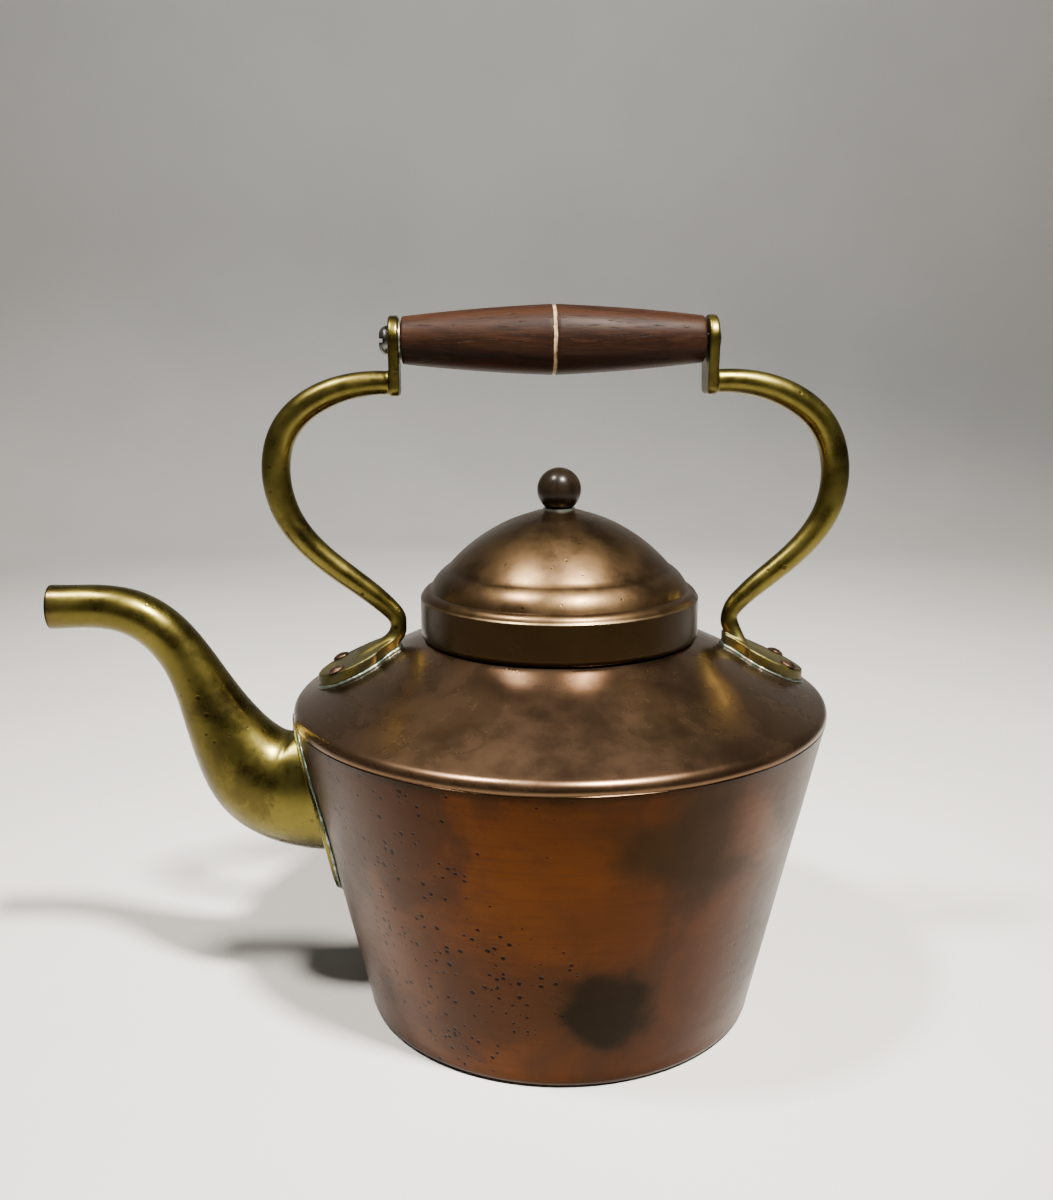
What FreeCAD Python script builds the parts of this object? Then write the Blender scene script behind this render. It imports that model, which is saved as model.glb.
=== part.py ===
import FreeCAD, Part
import math
import os

import Sketcher

# A stovetop kettle: a flared copper body with a sloping shoulder, a domed lid, a brass gooseneck
# spout and a riveted brass handle with a turned wooden grip. +Z is up, the origin is the centre of
# the base on the body's axis, and the spout points along -X. All sizes are in millimetres.

SIZES = {
    # Body: a cup with a straight flared wall, and a conical shoulder brazed to its rim.
    "sheet_metal": 1.2,
    "base_radius": 67.0,
    "wall_flare": 12.5,
    "foot_corner": 3.0,
    "seam_height": 105.0,
    "shoulder_corner_height": 108.2,
    "shoulder_slope": 25.5,
    "shoulder_round": 4.0,
    # Neck: an upright collar inside the lid's skirt.
    "collar_outer_radius": 45.3,
    "collar_wall": 1.1,
    "collar_top": 141.8,
    # Lid: a spun shell with a skirt, a small quarter round, a bead and a dome.
    "lid_sheet": 1.0,
    "skirt_radius": 46.8,
    "skirt_bottom": 130.2,
    "skirt_top": 143.3,
    "bead_foot_radius": 43.5,
    "bead_foot_height": 145.9,
    "bead_top_radius": 37.5,
    "bead_top_height": 153.0,
    "bead_bulge": 0.8,
    "quarter_bulge": 0.6,
    "dome_top": 171.9,
    "dome_bulge": 3.15,
    "seat_radius": 5.4,
    # Knob: a ball with a flat foot, on a thin washer, held by a screw from inside the lid.
    "knob_radius": 7.35,
    "knob_foot_radius": 4.5,
    "knob_foot_drop": 6.1,
    "knob_height": 13.4,
    "knob_washer_radius": 5.3,
    "knob_washer_thickness": 0.6,
    "knob_screw_radius": 1.75,
    "knob_screw_depth": 8.0,
    "knob_screw_head_radius": 3.6,
    "knob_screw_head": 2.2,
    "dome_share": 0.7,
    # Spout: a tapered gooseneck on a leaf-shaped flange, soldered over an oblong hole.
    "spout_wall": 1.2,
    "spout_flattening": 0.22,
    "mouth_reach": 169.6,
    "mouth_length": 12.0,
    "mouth_height": 141.2,
    "mouth_radius": 7.4,
    "root_height": 75.4,
    "flange_bottom": 38.0,
    "flange_top": 102.5,
    "flange_half_width": 24.0,
    "flange_thickness": 1.4,
    "skin_overhang": 6.0,
    "skin_angle": 80.0,
    "skin_half_frame": 90.0,
    "hole_half_width": 13.5,
    "hole_half_height": 17.5,
    "hole_end_rise": 12.4,
    "solder": 0.4,
    "solder_rim": 1.2,
    # Handle: two cast arms, each with an upright plate for the grip and a round leaf for a foot.
    "handle_lean": 0.042,
    "bulge_height": 182.0,
    "plate_centre": 51.6,
    "plate_thickness": 3.5,
    "plate_width": 16.0,
    "plate_top": 235.3,
    "plate_bottom": 209.6,
    "plate_bottom_width": 12.0,
    "plate_corner": 2.5,
    "plate_edge": 0.8,
    "leaf_centre": 70.3,
    "leaf_radius": 12.8,
    "leaf_shoulder": 62.5,
    "leaf_neck": 55.5,
    "leaf_neck_half": 3.4,
    "leaf_neck_hollow": 1.1,
    "leaf_thickness": 3.6,
    "foot_shift": 1.1,
    "rivet_reach": 75.0,
    "rivet_spread": 8.5,
    "rivet_shank": 1.8,
    "rivet_head": 3.0,
    "rivet_head_height": 1.5,
    "rivet_tail": 1.0,
    "rivet_tail_gap": 0.06,
    # Grip: a turned barrel with a groove round its middle, free to turn on a through rod.
    "grip_height": 227.4,
    "grip_length": 98.2,
    "grip_end_radius": 7.65,
    "grip_middle_radius": 11.3,
    "grip_crown": 0.45,
    "grip_chamfer": 0.5,
    "groove_depth": 0.7,
    "groove_half_width": 0.7,
    "rod_radius": 2.5,
    "rod_bore": 2.56,
    "sleeve_radius": 3.4,
    "sleeve_bore": 3.46,
    "sleeve_length": 12.0,
    "sleeve_clearance": 1.5,
    "rod_end_gap": 1.0,
    "screw_head_radius": 4.7,
    "screw_head_height": 3.0,
    "screw_head_rim": 2.1,
    "screw_head_flat": 1.6,
    "screw_head_bulge": 0.7,
    "slot_width": 1.2,
    "slot_depth": 1.3,
    "nut_head_radius": 4.0,
    "nut_head_height": 1.6,
    "grip_washer_radius": 6.4,
    "grip_washer_thickness": 0.4,
}

# Sections and points used for the smooth lofts.
SPOUT_SECTIONS = 21
ARM_SECTIONS = 32
OVAL_POINTS = 12

# Sections where the spout is parted into three lengths, and the reach of the parting block in mm.
# The real spout is one tube: these cuts stand for no seam on it.
SPOUT_CUTS = (9, 14)
CUT_REACH = 200.0

# Shares of the lid's sheet that keep its thickness even round the bead and under the rim.
BEAD_SHARE = 0.6
RIM_SHARE = 0.8

# A leaf's pointed tips move further than its flanks when the outline grows.
TIP_GROWTH = 1.5

# Cutting solids, in mm, all larger than the pieces they cut.
WALL_OVERRUN = 20.0
CONE_NEAR = 40.0
CONE_FAR = 95.0
RIVET_HOLE_HALF = 8.0
BAR_CUT = (40.0, 60.0, 200.0)
BAR_CUT_BOTTOM = 100.0
ROD_HOLE_HALF = 120.0
SLOT_LENGTH = 20.0

# Spout stations from the wall outwards: distance from the axis, height, half height of the section.
SPOUT_STATIONS = [
    ("root", 72.0, 75.4, 22.0),
    ("wall", 88.0, 76.3, 21.6),
    ("swell", 101.5, 80.6, 18.8),
    ("rise", 109.3, 89.0, 15.6),
    ("taper", 115.1, 99.6, 12.6),
    ("shank", 120.0, 110.5, 10.2),
    ("throat", 125.2, 121.4, 8.6),
    ("bend", 132.0, 131.0, 8.1),
    ("crook", 142.5, 138.6, 7.8),
]

# Arm stations: distance from the axis, height, half thickness and half width of the section.
ARM_STATIONS = [
    ("plate", 48.6, 213.4, 3.9, 3.9),
    ("top", 62.0, 213.6, 4.1, 4.1),
    ("crown", 77.6, 209.0, 4.6, 4.6),
    ("turn", 88.6, 199.7, 4.7, 4.7),
    ("bulge", 93.0, 183.0, 4.7, 4.7),
    ("flank", 89.6, 169.2, 4.45, 4.45),
    ("sweep", 81.4, 158.2, 4.1, 4.1),
    ("waist", 68.5, 147.3, 3.75, 3.75),
    ("bend", 60.0, 139.9, 3.3, 3.3),
    ("neck", 56.4, 134.0, 2.95, 3.0),
    ("ankle", 57.6, 129.7, 2.8, 3.6),
    ("instep", 62.6, 125.1, 2.2, 5.6),
    ("toe", 70.5, 120.1, 1.2, 8.0),
]

doc = FreeCAD.newDocument("kettle")
sheet = doc.addObject("Spreadsheet::Sheet", "dims")


class Size:
    """A length or angle that keeps its value together with its spreadsheet expression."""

    def __init__(self, value, text):
        self.value = value
        self.text = text

    def __add__(self, other):
        other = as_size(other)
        return Size(self.value + other.value, f"({self.text} + {other.text})")

    def __sub__(self, other):
        other = as_size(other)
        return Size(self.value - other.value, f"({self.text} - {other.text})")

    def __mul__(self, other):
        other = as_size(other)
        return Size(self.value * other.value, f"({self.text} * {other.text})")

    def __truediv__(self, other):
        other = as_size(other)
        return Size(self.value / other.value, f"({self.text} / {other.text})")

    def __neg__(self):
        return Size(-self.value, f"(-1 * {self.text})")

    __radd__ = __add__
    __rmul__ = __mul__

    def __rsub__(self, other):
        return as_size(other) - self


def as_size(number):
    if isinstance(number, Size):
        return number
    return Size(float(number), repr(float(number)))


def tangent(angle):
    return Size(math.tan(math.radians(angle.value)), f"tan({angle.text} * 1deg)")


def cosine(angle):
    return Size(math.cos(math.radians(angle.value)), f"cos({angle.text} * 1deg)")


def fill_sheet():
    """Write every driving dimension into the spreadsheet, one alias a row."""
    rows = dict(SIZES)
    for name, reach, height, half in SPOUT_STATIONS:
        rows[f"spout_{name}_reach"] = reach
        rows[f"spout_{name}_height"] = height
        rows[f"spout_{name}_half"] = half
    for name, reach, height, half, width in ARM_STATIONS:
        rows[f"arm_{name}_reach"] = reach
        rows[f"arm_{name}_height"] = height
        rows[f"arm_{name}_half"] = half
        rows[f"arm_{name}_width"] = width
    for row, (alias, value) in enumerate(rows.items(), start=1):
        sheet.set(f"A{row}", alias.replace("_", " "))
        sheet.set(f"B{row}", str(value))
        sheet.setAlias(f"B{row}", alias)
    doc.recompute()
    return rows


ROWS = fill_sheet()


def dim(alias):
    return Size(float(sheet.get(alias)), f"dims.{alias}")


def num(alias):
    return float(sheet.get(alias))


# --- Sketches and PartDesign bodies -------------------------------------------------------------


def origin_plane(body, role):
    return [item for item in body.Origin.OriginFeatures if item.Role == role][0]


def add_sketch(body, name, plane):
    sketch = body.newObject("Sketcher::SketchObject", name)
    sketch.AttachmentSupport = (origin_plane(body, plane), [""])
    sketch.MapMode = "FlatFace"
    return sketch


def arc_between(start, end, bulge):
    """Arc from start to end that stands out to the right of the chord by the bulge."""
    chord = end - start
    side = FreeCAD.Vector(chord.y, -chord.x, 0).normalize()
    middle = (start + end) * 0.5 + side * bulge
    return Part.Arc(start, middle, end)


def add_outline(sketch, vertices):
    """Draw a closed outline. Each vertex is (u, v, bulge), and the bulge shapes the side after it."""
    count = len(vertices)
    first = sketch.GeometryCount
    points = []
    for u, v, _ in vertices:
        points.append(FreeCAD.Vector(as_size(u).value, as_size(v).value, 0))
    for index, (_, _, bulge) in enumerate(vertices):
        start = points[index]
        end = points[(index + 1) % count]
        if bulge is None:
            sketch.addGeometry(Part.LineSegment(start, end), False)
        else:
            sketch.addGeometry(arc_between(start, end, as_size(bulge).value), False)
    starts = start_points(sketch, first, points)
    for index, (u, v, bulge) in enumerate(vertices):
        here = first + index
        following = first + (index + 1) % count
        end_position = 3 - starts[index]
        join = (here, end_position, following, starts[(index + 1) % count])
        sketch.addConstraint(Sketcher.Constraint("Coincident", *join))
        bind_coordinate(sketch, "DistanceX", here, starts[index], as_size(u), -2)
        bind_coordinate(sketch, "DistanceY", here, starts[index], as_size(v), -1)
        if bulge is not None:
            u_next, v_next, _ = vertices[(index + 1) % count]
            radius = arc_radius(as_size(u_next) - u, as_size(v_next) - v, as_size(bulge))
            number = sketch.addConstraint(Sketcher.Constraint("Radius", here, radius.value))
            sketch.setExpression(f"Constraints[{number}]", radius.text)


def start_points(sketch, first, points):
    """Which end of each side lies on its own vertex: 1 for the start, 2 for the end."""
    positions = []
    for index, point in enumerate(points):
        begins = sketch.getPoint(first + index, 1)
        positions.append(1 if begins.distanceToPoint(point) < 1e-6 else 2)
    return positions


def arc_radius(across, along, bulge):
    square = across * across + along * along
    height = bulge if bulge.value > 0 else -bulge
    return (square / 4 + height * height) / (2 * height)


def bind_coordinate(sketch, kind, side, position, size, axis):
    """Hold a vertex at its coordinate, or on the sketch axis where the coordinate is zero."""
    if abs(size.value) < 1e-9:
        sketch.addConstraint(Sketcher.Constraint("PointOnObject", side, position, axis))
        return
    number = sketch.addConstraint(Sketcher.Constraint(kind, -1, 1, side, position, size.value))
    sketch.setExpression(f"Constraints[{number}]", size.text)


def add_body(label):
    body = doc.addObject("PartDesign::Body", label)
    body.Label = label
    return body


def revolve(body, name, vertices, axis="V_Axis", angle=None):
    """Turn an outline in the XZ plane about an axis of its sketch."""
    sketch = add_sketch(body, f"{name}_outline", "XZ_Plane")
    add_outline(sketch, vertices)
    turned = body.newObject("PartDesign::Revolution", f"{name}_turned")
    turned.Profile = sketch
    turned.ReferenceAxis = (sketch, [axis])
    turned.Angle = 360 if angle is None else angle
    turned.Midplane = angle is not None
    doc.recompute()
    return turned


def cut_outline(body, name, plane, outlines, length, reverse):
    """Cut outlines drawn on an origin plane through one side of the body."""
    before = body.Shape.Volume
    sketch = add_sketch(body, f"{name}_cut_outline", plane)
    for vertices in outlines:
        add_outline(sketch, vertices)
    pocket = body.newObject("PartDesign::Pocket", f"{name}_cut")
    pocket.Profile = sketch
    pocket.Type = "Length"
    pocket.Length = as_size(length).value
    pocket.setExpression("Length", as_size(length).text)
    pocket.Reversed = reverse
    doc.recompute()
    if body.Shape.Volume > before - 0.5:
        raise RuntimeError(f"{name} cut nothing")
    return pocket


def round_edges(body, name, radius, chosen):
    """Round the edges of the body's last feature that pass the test."""
    base = body.Tip
    names = []
    for index, edge in enumerate(base.Shape.Edges, start=1):
        if chosen(edge):
            names.append(f"Edge{index}")
    if not names:
        raise RuntimeError(f"{name} found no edge")
    fillet = body.newObject("PartDesign::Fillet", name)
    fillet.Base = (base, names)
    fillet.Radius = as_size(radius).value
    fillet.setExpression("Radius", as_size(radius).text)
    doc.recompute()
    return fillet


def ring_at(radius, height):
    """Test for a full circle about Z with this radius at this height."""

    def chosen(edge):
        curve = edge.Curve
        if curve.TypeId != "Part::GeomCircle":
            return False
        return abs(curve.Radius - radius.value) < 0.05 and abs(curve.Center.z - height.value) < 0.05

    return chosen


def facing_spout():
    """Placement that turns a piece drawn towards +X to the spout side."""
    return FreeCAD.Placement(FreeCAD.Vector(), FreeCAD.Rotation(FreeCAD.Vector(0, 0, 1), 180))


# --- Body, shoulder and neck ---------------------------------------------------------------------


def wall_radius(height, inset=0.0):
    """Outer radius of the flared wall at a height, less an inset measured square to the wall."""
    flare = dim("wall_flare")
    return dim("base_radius") + as_size(height) * tangent(flare) - as_size(inset) / cosine(flare)


def shoulder_height(radius, rise=0.0):
    """Height of the cone of the shoulder at a radius, plus a rise measured square to it."""
    slope = dim("shoulder_slope")
    corner = dim("shoulder_corner_height")
    run = wall_radius(corner) - radius
    return corner + run * tangent(slope) + as_size(rise) / cosine(slope)


def oblong_hole():
    """Upright oblong behind the spout, as seen along X."""
    half = dim("hole_half_width")
    middle = dim("root_height")
    end = dim("hole_end_rise")
    straight = dim("hole_half_height") - end
    low = middle - straight
    high = middle + straight
    return [(-half, low, end), (half, low, None), (half, high, end), (-half, high, None)]


def make_lower_body():
    """Drawn cup: a flat base and a flared wall, with the hole behind the spout."""
    metal = dim("sheet_metal")
    seam = dim("seam_height")
    body = add_body("lower_body")
    revolve(body, "cup", [
        (0, 0, None),
        (dim("base_radius"), 0, None),
        (wall_radius(seam), seam, None),
        (wall_radius(seam, metal), seam, None),
        (wall_radius(metal, metal), metal, None),
        (0, metal, None),
    ])
    round_edges(body, "cup_outer_corner", dim("foot_corner"), ring_at(dim("base_radius"), as_size(0)))
    inner = dim("foot_corner") - metal
    round_edges(body, "cup_inner_corner", inner, ring_at(wall_radius(metal, metal), metal))
    cut_outline(body, "spout_hole", "YZ_Plane", [oblong_hole()], dim("mouth_reach"), False)
    return body


def make_shoulder_blank():
    """Spun cone that closes the body, rounded over to the wall and holed for the neck."""
    metal = dim("sheet_metal")
    seam = dim("seam_height")
    corner = dim("shoulder_corner_height")
    edge = wall_radius(corner)
    neck = dim("collar_outer_radius") - dim("collar_wall")
    # The inner wall and the inner face of the cone meet here.
    slope = tangent(dim("shoulder_slope"))
    flare = tangent(dim("wall_flare"))
    level = shoulder_height(wall_radius(0, metal), -metal)
    inner_corner = level / (1 + slope * flare)
    inner_edge = wall_radius(inner_corner, metal)
    body = add_body("shoulder_blank")
    revolve(body, "shoulder", [
        (wall_radius(seam), seam, None),
        (edge, corner, None),
        (neck, shoulder_height(neck), None),
        (neck, shoulder_height(neck, -metal), None),
        (inner_edge, inner_corner, None),
        (wall_radius(seam, metal), seam, None),
    ])
    round_edges(body, "shoulder_outer_round", dim("shoulder_round"), ring_at(edge, corner))
    inner_round = dim("shoulder_round") - metal
    round_edges(body, "shoulder_inner_round", inner_round, ring_at(inner_edge, inner_corner))
    return body


def make_neck_collar():
    """Upright ring round the neck hole, which the lid's skirt slips over."""
    outer = dim("collar_outer_radius")
    inner = outer - dim("collar_wall")
    body = add_body("neck_collar")
    revolve(body, "collar", [
        (inner, shoulder_height(inner), None),
        (outer, shoulder_height(outer), None),
        (outer, dim("collar_top"), None),
        (inner, dim("collar_top"), None),
    ])
    return body


# --- Lid -----------------------------------------------------------------------------------------


def make_lid_shell():
    """Spun lid: skirt, sharp rim, quarter round, bead and dome, with a screw hole at the top."""
    metal = dim("lid_sheet")
    skirt = dim("skirt_radius")
    rim = dim("skirt_top")
    top = dim("dome_top")
    hole = dim("knob_screw_radius")
    seat = dim("seat_radius")
    bead_foot = (dim("bead_foot_radius"), dim("bead_foot_height"))
    bead_top = (dim("bead_top_radius"), dim("bead_top_height"))
    body = add_body("lid_shell")
    revolve(body, "lid", [
        (hole, top, None),
        (hole, top - metal, None),
        (seat, top - metal, -dim("dome_bulge")),
        (bead_top[0] - metal, bead_top[1] - metal * BEAD_SHARE, -dim("bead_bulge")),
        (bead_foot[0] - metal, bead_foot[1] - metal * BEAD_SHARE, None),
        (skirt - metal, rim - metal * RIM_SHARE, None),
        (skirt - metal, dim("skirt_bottom"), None),
        (skirt, dim("skirt_bottom"), None),
        (skirt, rim, dim("quarter_bulge")),
        (bead_foot[0], bead_foot[1], dim("bead_bulge")),
        (bead_top[0], bead_top[1], dim("dome_bulge")),
        (seat, top, None),
    ])
    return body


def make_lid_knob():
    """Turned ball with a flat foot and a blind screw hole."""
    height = dim("knob_height")
    foot = dim("knob_foot_radius")
    hole = dim("knob_screw_radius")
    depth = dim("knob_screw_depth")
    radius = dim("knob_radius")
    drop = dim("knob_foot_drop")
    body = add_body("lid_knob")
    revolve(body, "knob", [
        (hole, 0, None),
        (foot, 0, dome_bulge(drop, radius - foot)),
        (radius, drop, dome_bulge(radius, radius)),
        (0, drop + radius, None),
        (0, depth, None),
        (hole, depth, None),
    ])
    place_on_axis(body, dim("dome_top") + dim("knob_washer_thickness"))
    return body


def dome_bulge(run, rise):
    """Bulge of an arc that starts along its run and turns away by the rise."""
    reach = (run * run + rise * rise) / (2 * rise)
    half_chord = math.hypot(run.value, rise.value) / 2
    return reach.value - math.sqrt(reach.value ** 2 - half_chord ** 2)


def place_on_axis(body, height):
    body.Placement = FreeCAD.Placement(FreeCAD.Vector(0, 0, height.value), FreeCAD.Rotation())
    body.setExpression("Placement.Base.z", height.text)


def make_knob_washer():
    """Thin washer between the dome and the knob."""
    body = add_body("knob_washer")
    hole = dim("knob_screw_radius")
    edge = dim("knob_washer_radius")
    thickness = dim("knob_washer_thickness")
    revolve(body, "washer", [
        (hole, 0, None),
        (edge, 0, None),
        (edge, thickness, None),
        (hole, thickness, None),
    ])
    place_on_axis(body, dim("dome_top"))
    return body


def make_knob_screw():
    """Round-headed screw through the dome into the knob."""
    body = add_body("knob_screw")
    head = dim("knob_screw_head")
    shank = dim("knob_screw_radius")
    edge = dim("knob_screw_head_radius")
    tip = head + dim("lid_sheet") + dim("knob_washer_thickness") + dim("knob_screw_depth")
    dome = head * dim("dome_share")
    revolve(body, "screw", [
        (0, 0, dome_bulge(edge, dome)),
        (edge, dome, None),
        (edge, head, None),
        (shank, head, None),
        (shank, tip, None),
        (0, tip, None),
    ])
    place_on_axis(body, dim("dome_top") - dim("lid_sheet") - head)
    return body


# --- Spout ---------------------------------------------------------------------------------------


def smooth_sections(stations, count, end_direction):
    """Points and half sizes along a smooth route through the stations, evenly spaced."""
    centres = [FreeCAD.Vector(station[0], 0, station[1]) for station in stations]
    steps = [0.0]
    for before, after in zip(centres, centres[1:]):
        steps.append(steps[-1] + before.distanceToPoint(after))
    halves = []
    for station, step in zip(stations, steps):
        halves.append(FreeCAD.Vector(station[2], station[3], step))
    route = Part.BSplineCurve()
    if end_direction is None:
        route.interpolate(Points=centres, Parameters=steps)
    else:
        route.interpolate(
            Points=centres,
            Parameters=steps,
            InitialTangent=end_direction,
            FinalTangent=end_direction,
            Scale=False,
        )
    girth = Part.BSplineCurve()
    girth.interpolate(Points=halves, Parameters=steps)
    sections = []
    for index in range(count):
        travel = steps[-1] * index / (count - 1)
        size = girth.value(travel)
        sections.append((route.value(travel), route.tangent(travel)[0], size.x, size.y))
    return sections


def tube_wire(section, inset):
    """Upright ellipse square to the route, or a circle where its two halves are equal."""
    centre, along, half, width = section
    across = FreeCAD.Vector(-along.z, 0, along.x)
    if abs(half - width) < 1e-6:
        curve = Part.Circle(centre, along, half - inset)
        curve.XAxis = across
    else:
        tall = centre + across * (half - inset)
        curve = Part.Ellipse(tall, centre + FreeCAD.Vector(0, width - inset, 0), centre)
    return Part.Wire(curve.toShape())


def bar_wire(section):
    """Smooth oval square to the route, drawn from the same side of every section."""
    centre, along, half, width = section
    across = FreeCAD.Vector(-along.z, 0, along.x)
    points = []
    for index in range(OVAL_POINTS):
        turn = 2 * math.pi * index / OVAL_POINTS
        sideways = FreeCAD.Vector(0, width * math.sin(turn), 0)
        points.append(centre + across * (half * math.cos(turn)) + sideways)
    curve = Part.BSplineCurve()
    curve.interpolate(Points=points, PeriodicFlag=True)
    return Part.Wire(curve.toShape())


def spout_sections(count):
    """Sections of the gooseneck: tall ovals at the wall that turn round towards the mouth."""
    mouth = num("mouth_radius")
    span = SPOUT_STATIONS[0][3] - mouth
    stations = []
    for name, _, _, _ in SPOUT_STATIONS:
        half = num(f"spout_{name}_half")
        flatten = 1 - num("spout_flattening") * (half - mouth) / span
        reach = num(f"spout_{name}_reach")
        stations.append((reach, num(f"spout_{name}_height"), half, half * flatten))
    straight = num("mouth_reach") - num("mouth_length")
    stations.append((straight, num("mouth_height"), mouth, mouth))
    sections = smooth_sections(stations, count, FreeCAD.Vector(1, 0, 0))
    centre, _, _, _ = sections[-1]
    sections[-1] = (centre, FreeCAD.Vector(1, 0, 0), mouth, mouth)
    return sections


def body_solid(inset):
    """Solid cone that fills the body's wall, offset by an inset."""
    low = -WALL_OVERRUN
    high = num("shoulder_corner_height") + WALL_OVERRUN
    radii = [wall_radius(low, inset).value, wall_radius(high, inset).value]
    return Part.makeCone(radii[0], radii[1], high - low, FreeCAD.Vector(0, 0, low))


def ahead_of(section):
    """Large block whose near face is square to the route at a section."""
    centre, along, _, _ = section
    block = Part.makeBox(CUT_REACH, 2 * CUT_REACH, 2 * CUT_REACH)
    block.translate(FreeCAD.Vector(0, -CUT_REACH, -CUT_REACH))
    turn = FreeCAD.Rotation(FreeCAD.Vector(1, 0, 0), along)
    block.Placement = FreeCAD.Placement(centre, turn).multiply(block.Placement)
    return block


def make_spout():
    """Hollow gooseneck with a straight mouth, in three lengths: bowl, shank and tube."""
    sections = spout_sections(SPOUT_SECTIONS)
    mouth = FreeCAD.Vector(num("mouth_reach") - num("mouth_length"), 0, num("mouth_height"))
    forward = FreeCAD.Vector(1, 0, 0)
    solids = []
    for inset in (0.0, num("spout_wall")):
        neck = Part.makeLoft([tube_wire(section, inset) for section in sections], True, False)
        radius = num("mouth_radius") - inset
        tip = Part.makeCylinder(radius, num("mouth_length"), mouth, forward)
        solids.append(neck.fuse(tip).removeSplitter())
    seat = body_solid(-num("solder") - num("flange_thickness"))
    tube = largest_solid(solids[0].cut(solids[1]).cut(seat))
    low, high = [ahead_of(sections[index]) for index in SPOUT_CUTS]
    lengths = {
        "spout_bowl": tube.cut(low),
        "spout_shank": tube.common(low).cut(high),
        "spout_tube": tube.common(high),
    }
    features = []
    for label, shape in lengths.items():
        feature = doc.addObject("Part::Feature", label)
        feature.Shape = largest_solid(shape)
        feature.Placement = facing_spout()
        features.append(feature)
    return features


def largest_solid(shape):
    return sorted(shape.Solids, key=lambda solid: solid.Volume)[-1]


def leaf(margin):
    """Pointed leaf outline of the flange as seen along X, grown by a margin."""
    low = dim("flange_bottom") - margin * TIP_GROWTH
    high = dim("flange_top") + margin * TIP_GROWTH
    half = dim("flange_half_width") + margin
    return [(0, low, half), (0, high, half)]


def make_flange_skin(label, inner, outer, margin):
    """Leaf cut from a skin that lies on the wall between two distances from it."""
    low = dim("flange_bottom") - dim("skin_overhang")
    high = dim("flange_top") + dim("skin_overhang")
    body = add_body(label)
    revolve(body, label, [
        (wall_radius(low, -inner), low, None),
        (wall_radius(low, -outer), low, None),
        (wall_radius(high, -outer), high, None),
        (wall_radius(high, -inner), high, None),
    ], angle=num("skin_angle"))
    side = dim("skin_half_frame")
    below = low - dim("skin_overhang")
    above = high + dim("skin_overhang")
    frame = [(-side, below, None), (side, below, None), (side, above, None), (-side, above, None)]
    length = dim("mouth_reach")
    cut_outline(body, f"{label}_leaf", "YZ_Plane", [frame, leaf(margin)], length, True)
    cut_outline(body, f"{label}_hole", "YZ_Plane", [oblong_hole()], length, True)
    body.Placement = facing_spout()
    return body


# --- Handle --------------------------------------------------------------------------------------


def lean(height):
    """How far the handle leans towards the spout at a height."""
    return num("handle_lean") * (num("bulge_height") - height)


def arm_bar(side):
    """Curved bar from the plate to the leaf, thick in its bulge and thin at its neck."""
    stations = []
    for name, _, _, _, _ in ARM_STATIONS:
        height = num(f"arm_{name}_height")
        reach = num(f"arm_{name}_reach")
        if name not in ("instep", "toe"):
            reach += side * lean(height)
        stations.append((reach, height, num(f"arm_{name}_half"), num(f"arm_{name}_width")))
    sections = smooth_sections(stations, ARM_SECTIONS, None)
    return Part.makeLoft([bar_wire(section) for section in sections], True, False)


def upright_plate(side):
    """Plate that carries one end of the grip, round at the top and narrower at the bottom."""
    half = num("plate_width") / 2
    foot = num("plate_bottom_width") / 2
    top = num("plate_top")
    bottom = num("plate_bottom")
    inner = plate_inner(side)
    corner = num("plate_corner")
    bend = corner * (1 - math.sqrt(0.5))

    def spot(y, z):
        return FreeCAD.Vector(inner, y, z)

    slant = (half - foot) * corner / (top - half - bottom)
    edges = [
        Part.Arc(spot(-half, top - half), spot(0, top), spot(half, top - half)),
        Part.LineSegment(spot(half, top - half), spot(foot + slant, bottom + corner)),
        Part.Arc(
            spot(foot + slant, bottom + corner),
            spot(foot - bend, bottom + bend),
            spot(foot - corner, bottom),
        ),
        Part.LineSegment(spot(foot - corner, bottom), spot(corner - foot, bottom)),
        Part.Arc(
            spot(corner - foot, bottom),
            spot(bend - foot, bottom + bend),
            spot(-foot - slant, bottom + corner),
        ),
        Part.LineSegment(spot(-foot - slant, bottom + corner), spot(-half, top - half)),
    ]
    face = Part.Face(Part.Wire([edge.toShape() for edge in edges]))
    plate = face.extrude(FreeCAD.Vector(num("plate_thickness"), 0, 0))
    rim = [edge for edge in plate.Edges if edge.BoundBox.XLength < 1e-6]
    return plate.makeFillet(num("plate_edge"), rim)


def plate_inner(side):
    """Distance of the plate's inner face from the axis, on the side it is drawn."""
    return num("plate_centre") - num("plate_thickness") / 2 + side * lean(num("grip_height"))


def foot_leaf(side, inner, outer, margin):
    """Round leaf that lies on the cone of the shoulder between two distances from it."""
    shift = side * num("foot_shift")
    centre = num("leaf_centre") + shift
    radius = num("leaf_radius") + margin
    joint = num("leaf_shoulder") + shift
    neck = num("leaf_neck") + shift
    narrow = num("leaf_neck_half") + margin
    hollow = num("leaf_neck_hollow")
    wide = math.sqrt(radius ** 2 - (centre - joint) ** 2)
    below = num("seam_height")

    def spot(x, y):
        return FreeCAD.Vector(x, y, below)

    flare = [
        arc_between(spot(neck, -narrow), spot(joint, -wide), -hollow),
        Part.Arc(spot(joint, -wide), spot(centre + radius, 0), spot(joint, wide)),
        arc_between(spot(joint, wide), spot(neck, narrow), -hollow),
        Part.LineSegment(spot(neck, narrow), spot(neck, -narrow)),
    ]
    cutter = Part.Face(Part.Wire([edge.toShape() for edge in flare]))
    skin = cone_solid(outer).cut(cone_solid(inner))
    return cutter.extrude(FreeCAD.Vector(0, 0, num("bulge_height") - below)).common(skin)


def cone_solid(rise):
    """Solid cone under the shoulder's outer face, raised square to it."""
    low = shoulder_height(as_size(CONE_FAR), rise).value
    high = shoulder_height(as_size(CONE_NEAR), rise).value
    return Part.makeCone(CONE_FAR, CONE_NEAR, high - low, FreeCAD.Vector(0, 0, low))


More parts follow.
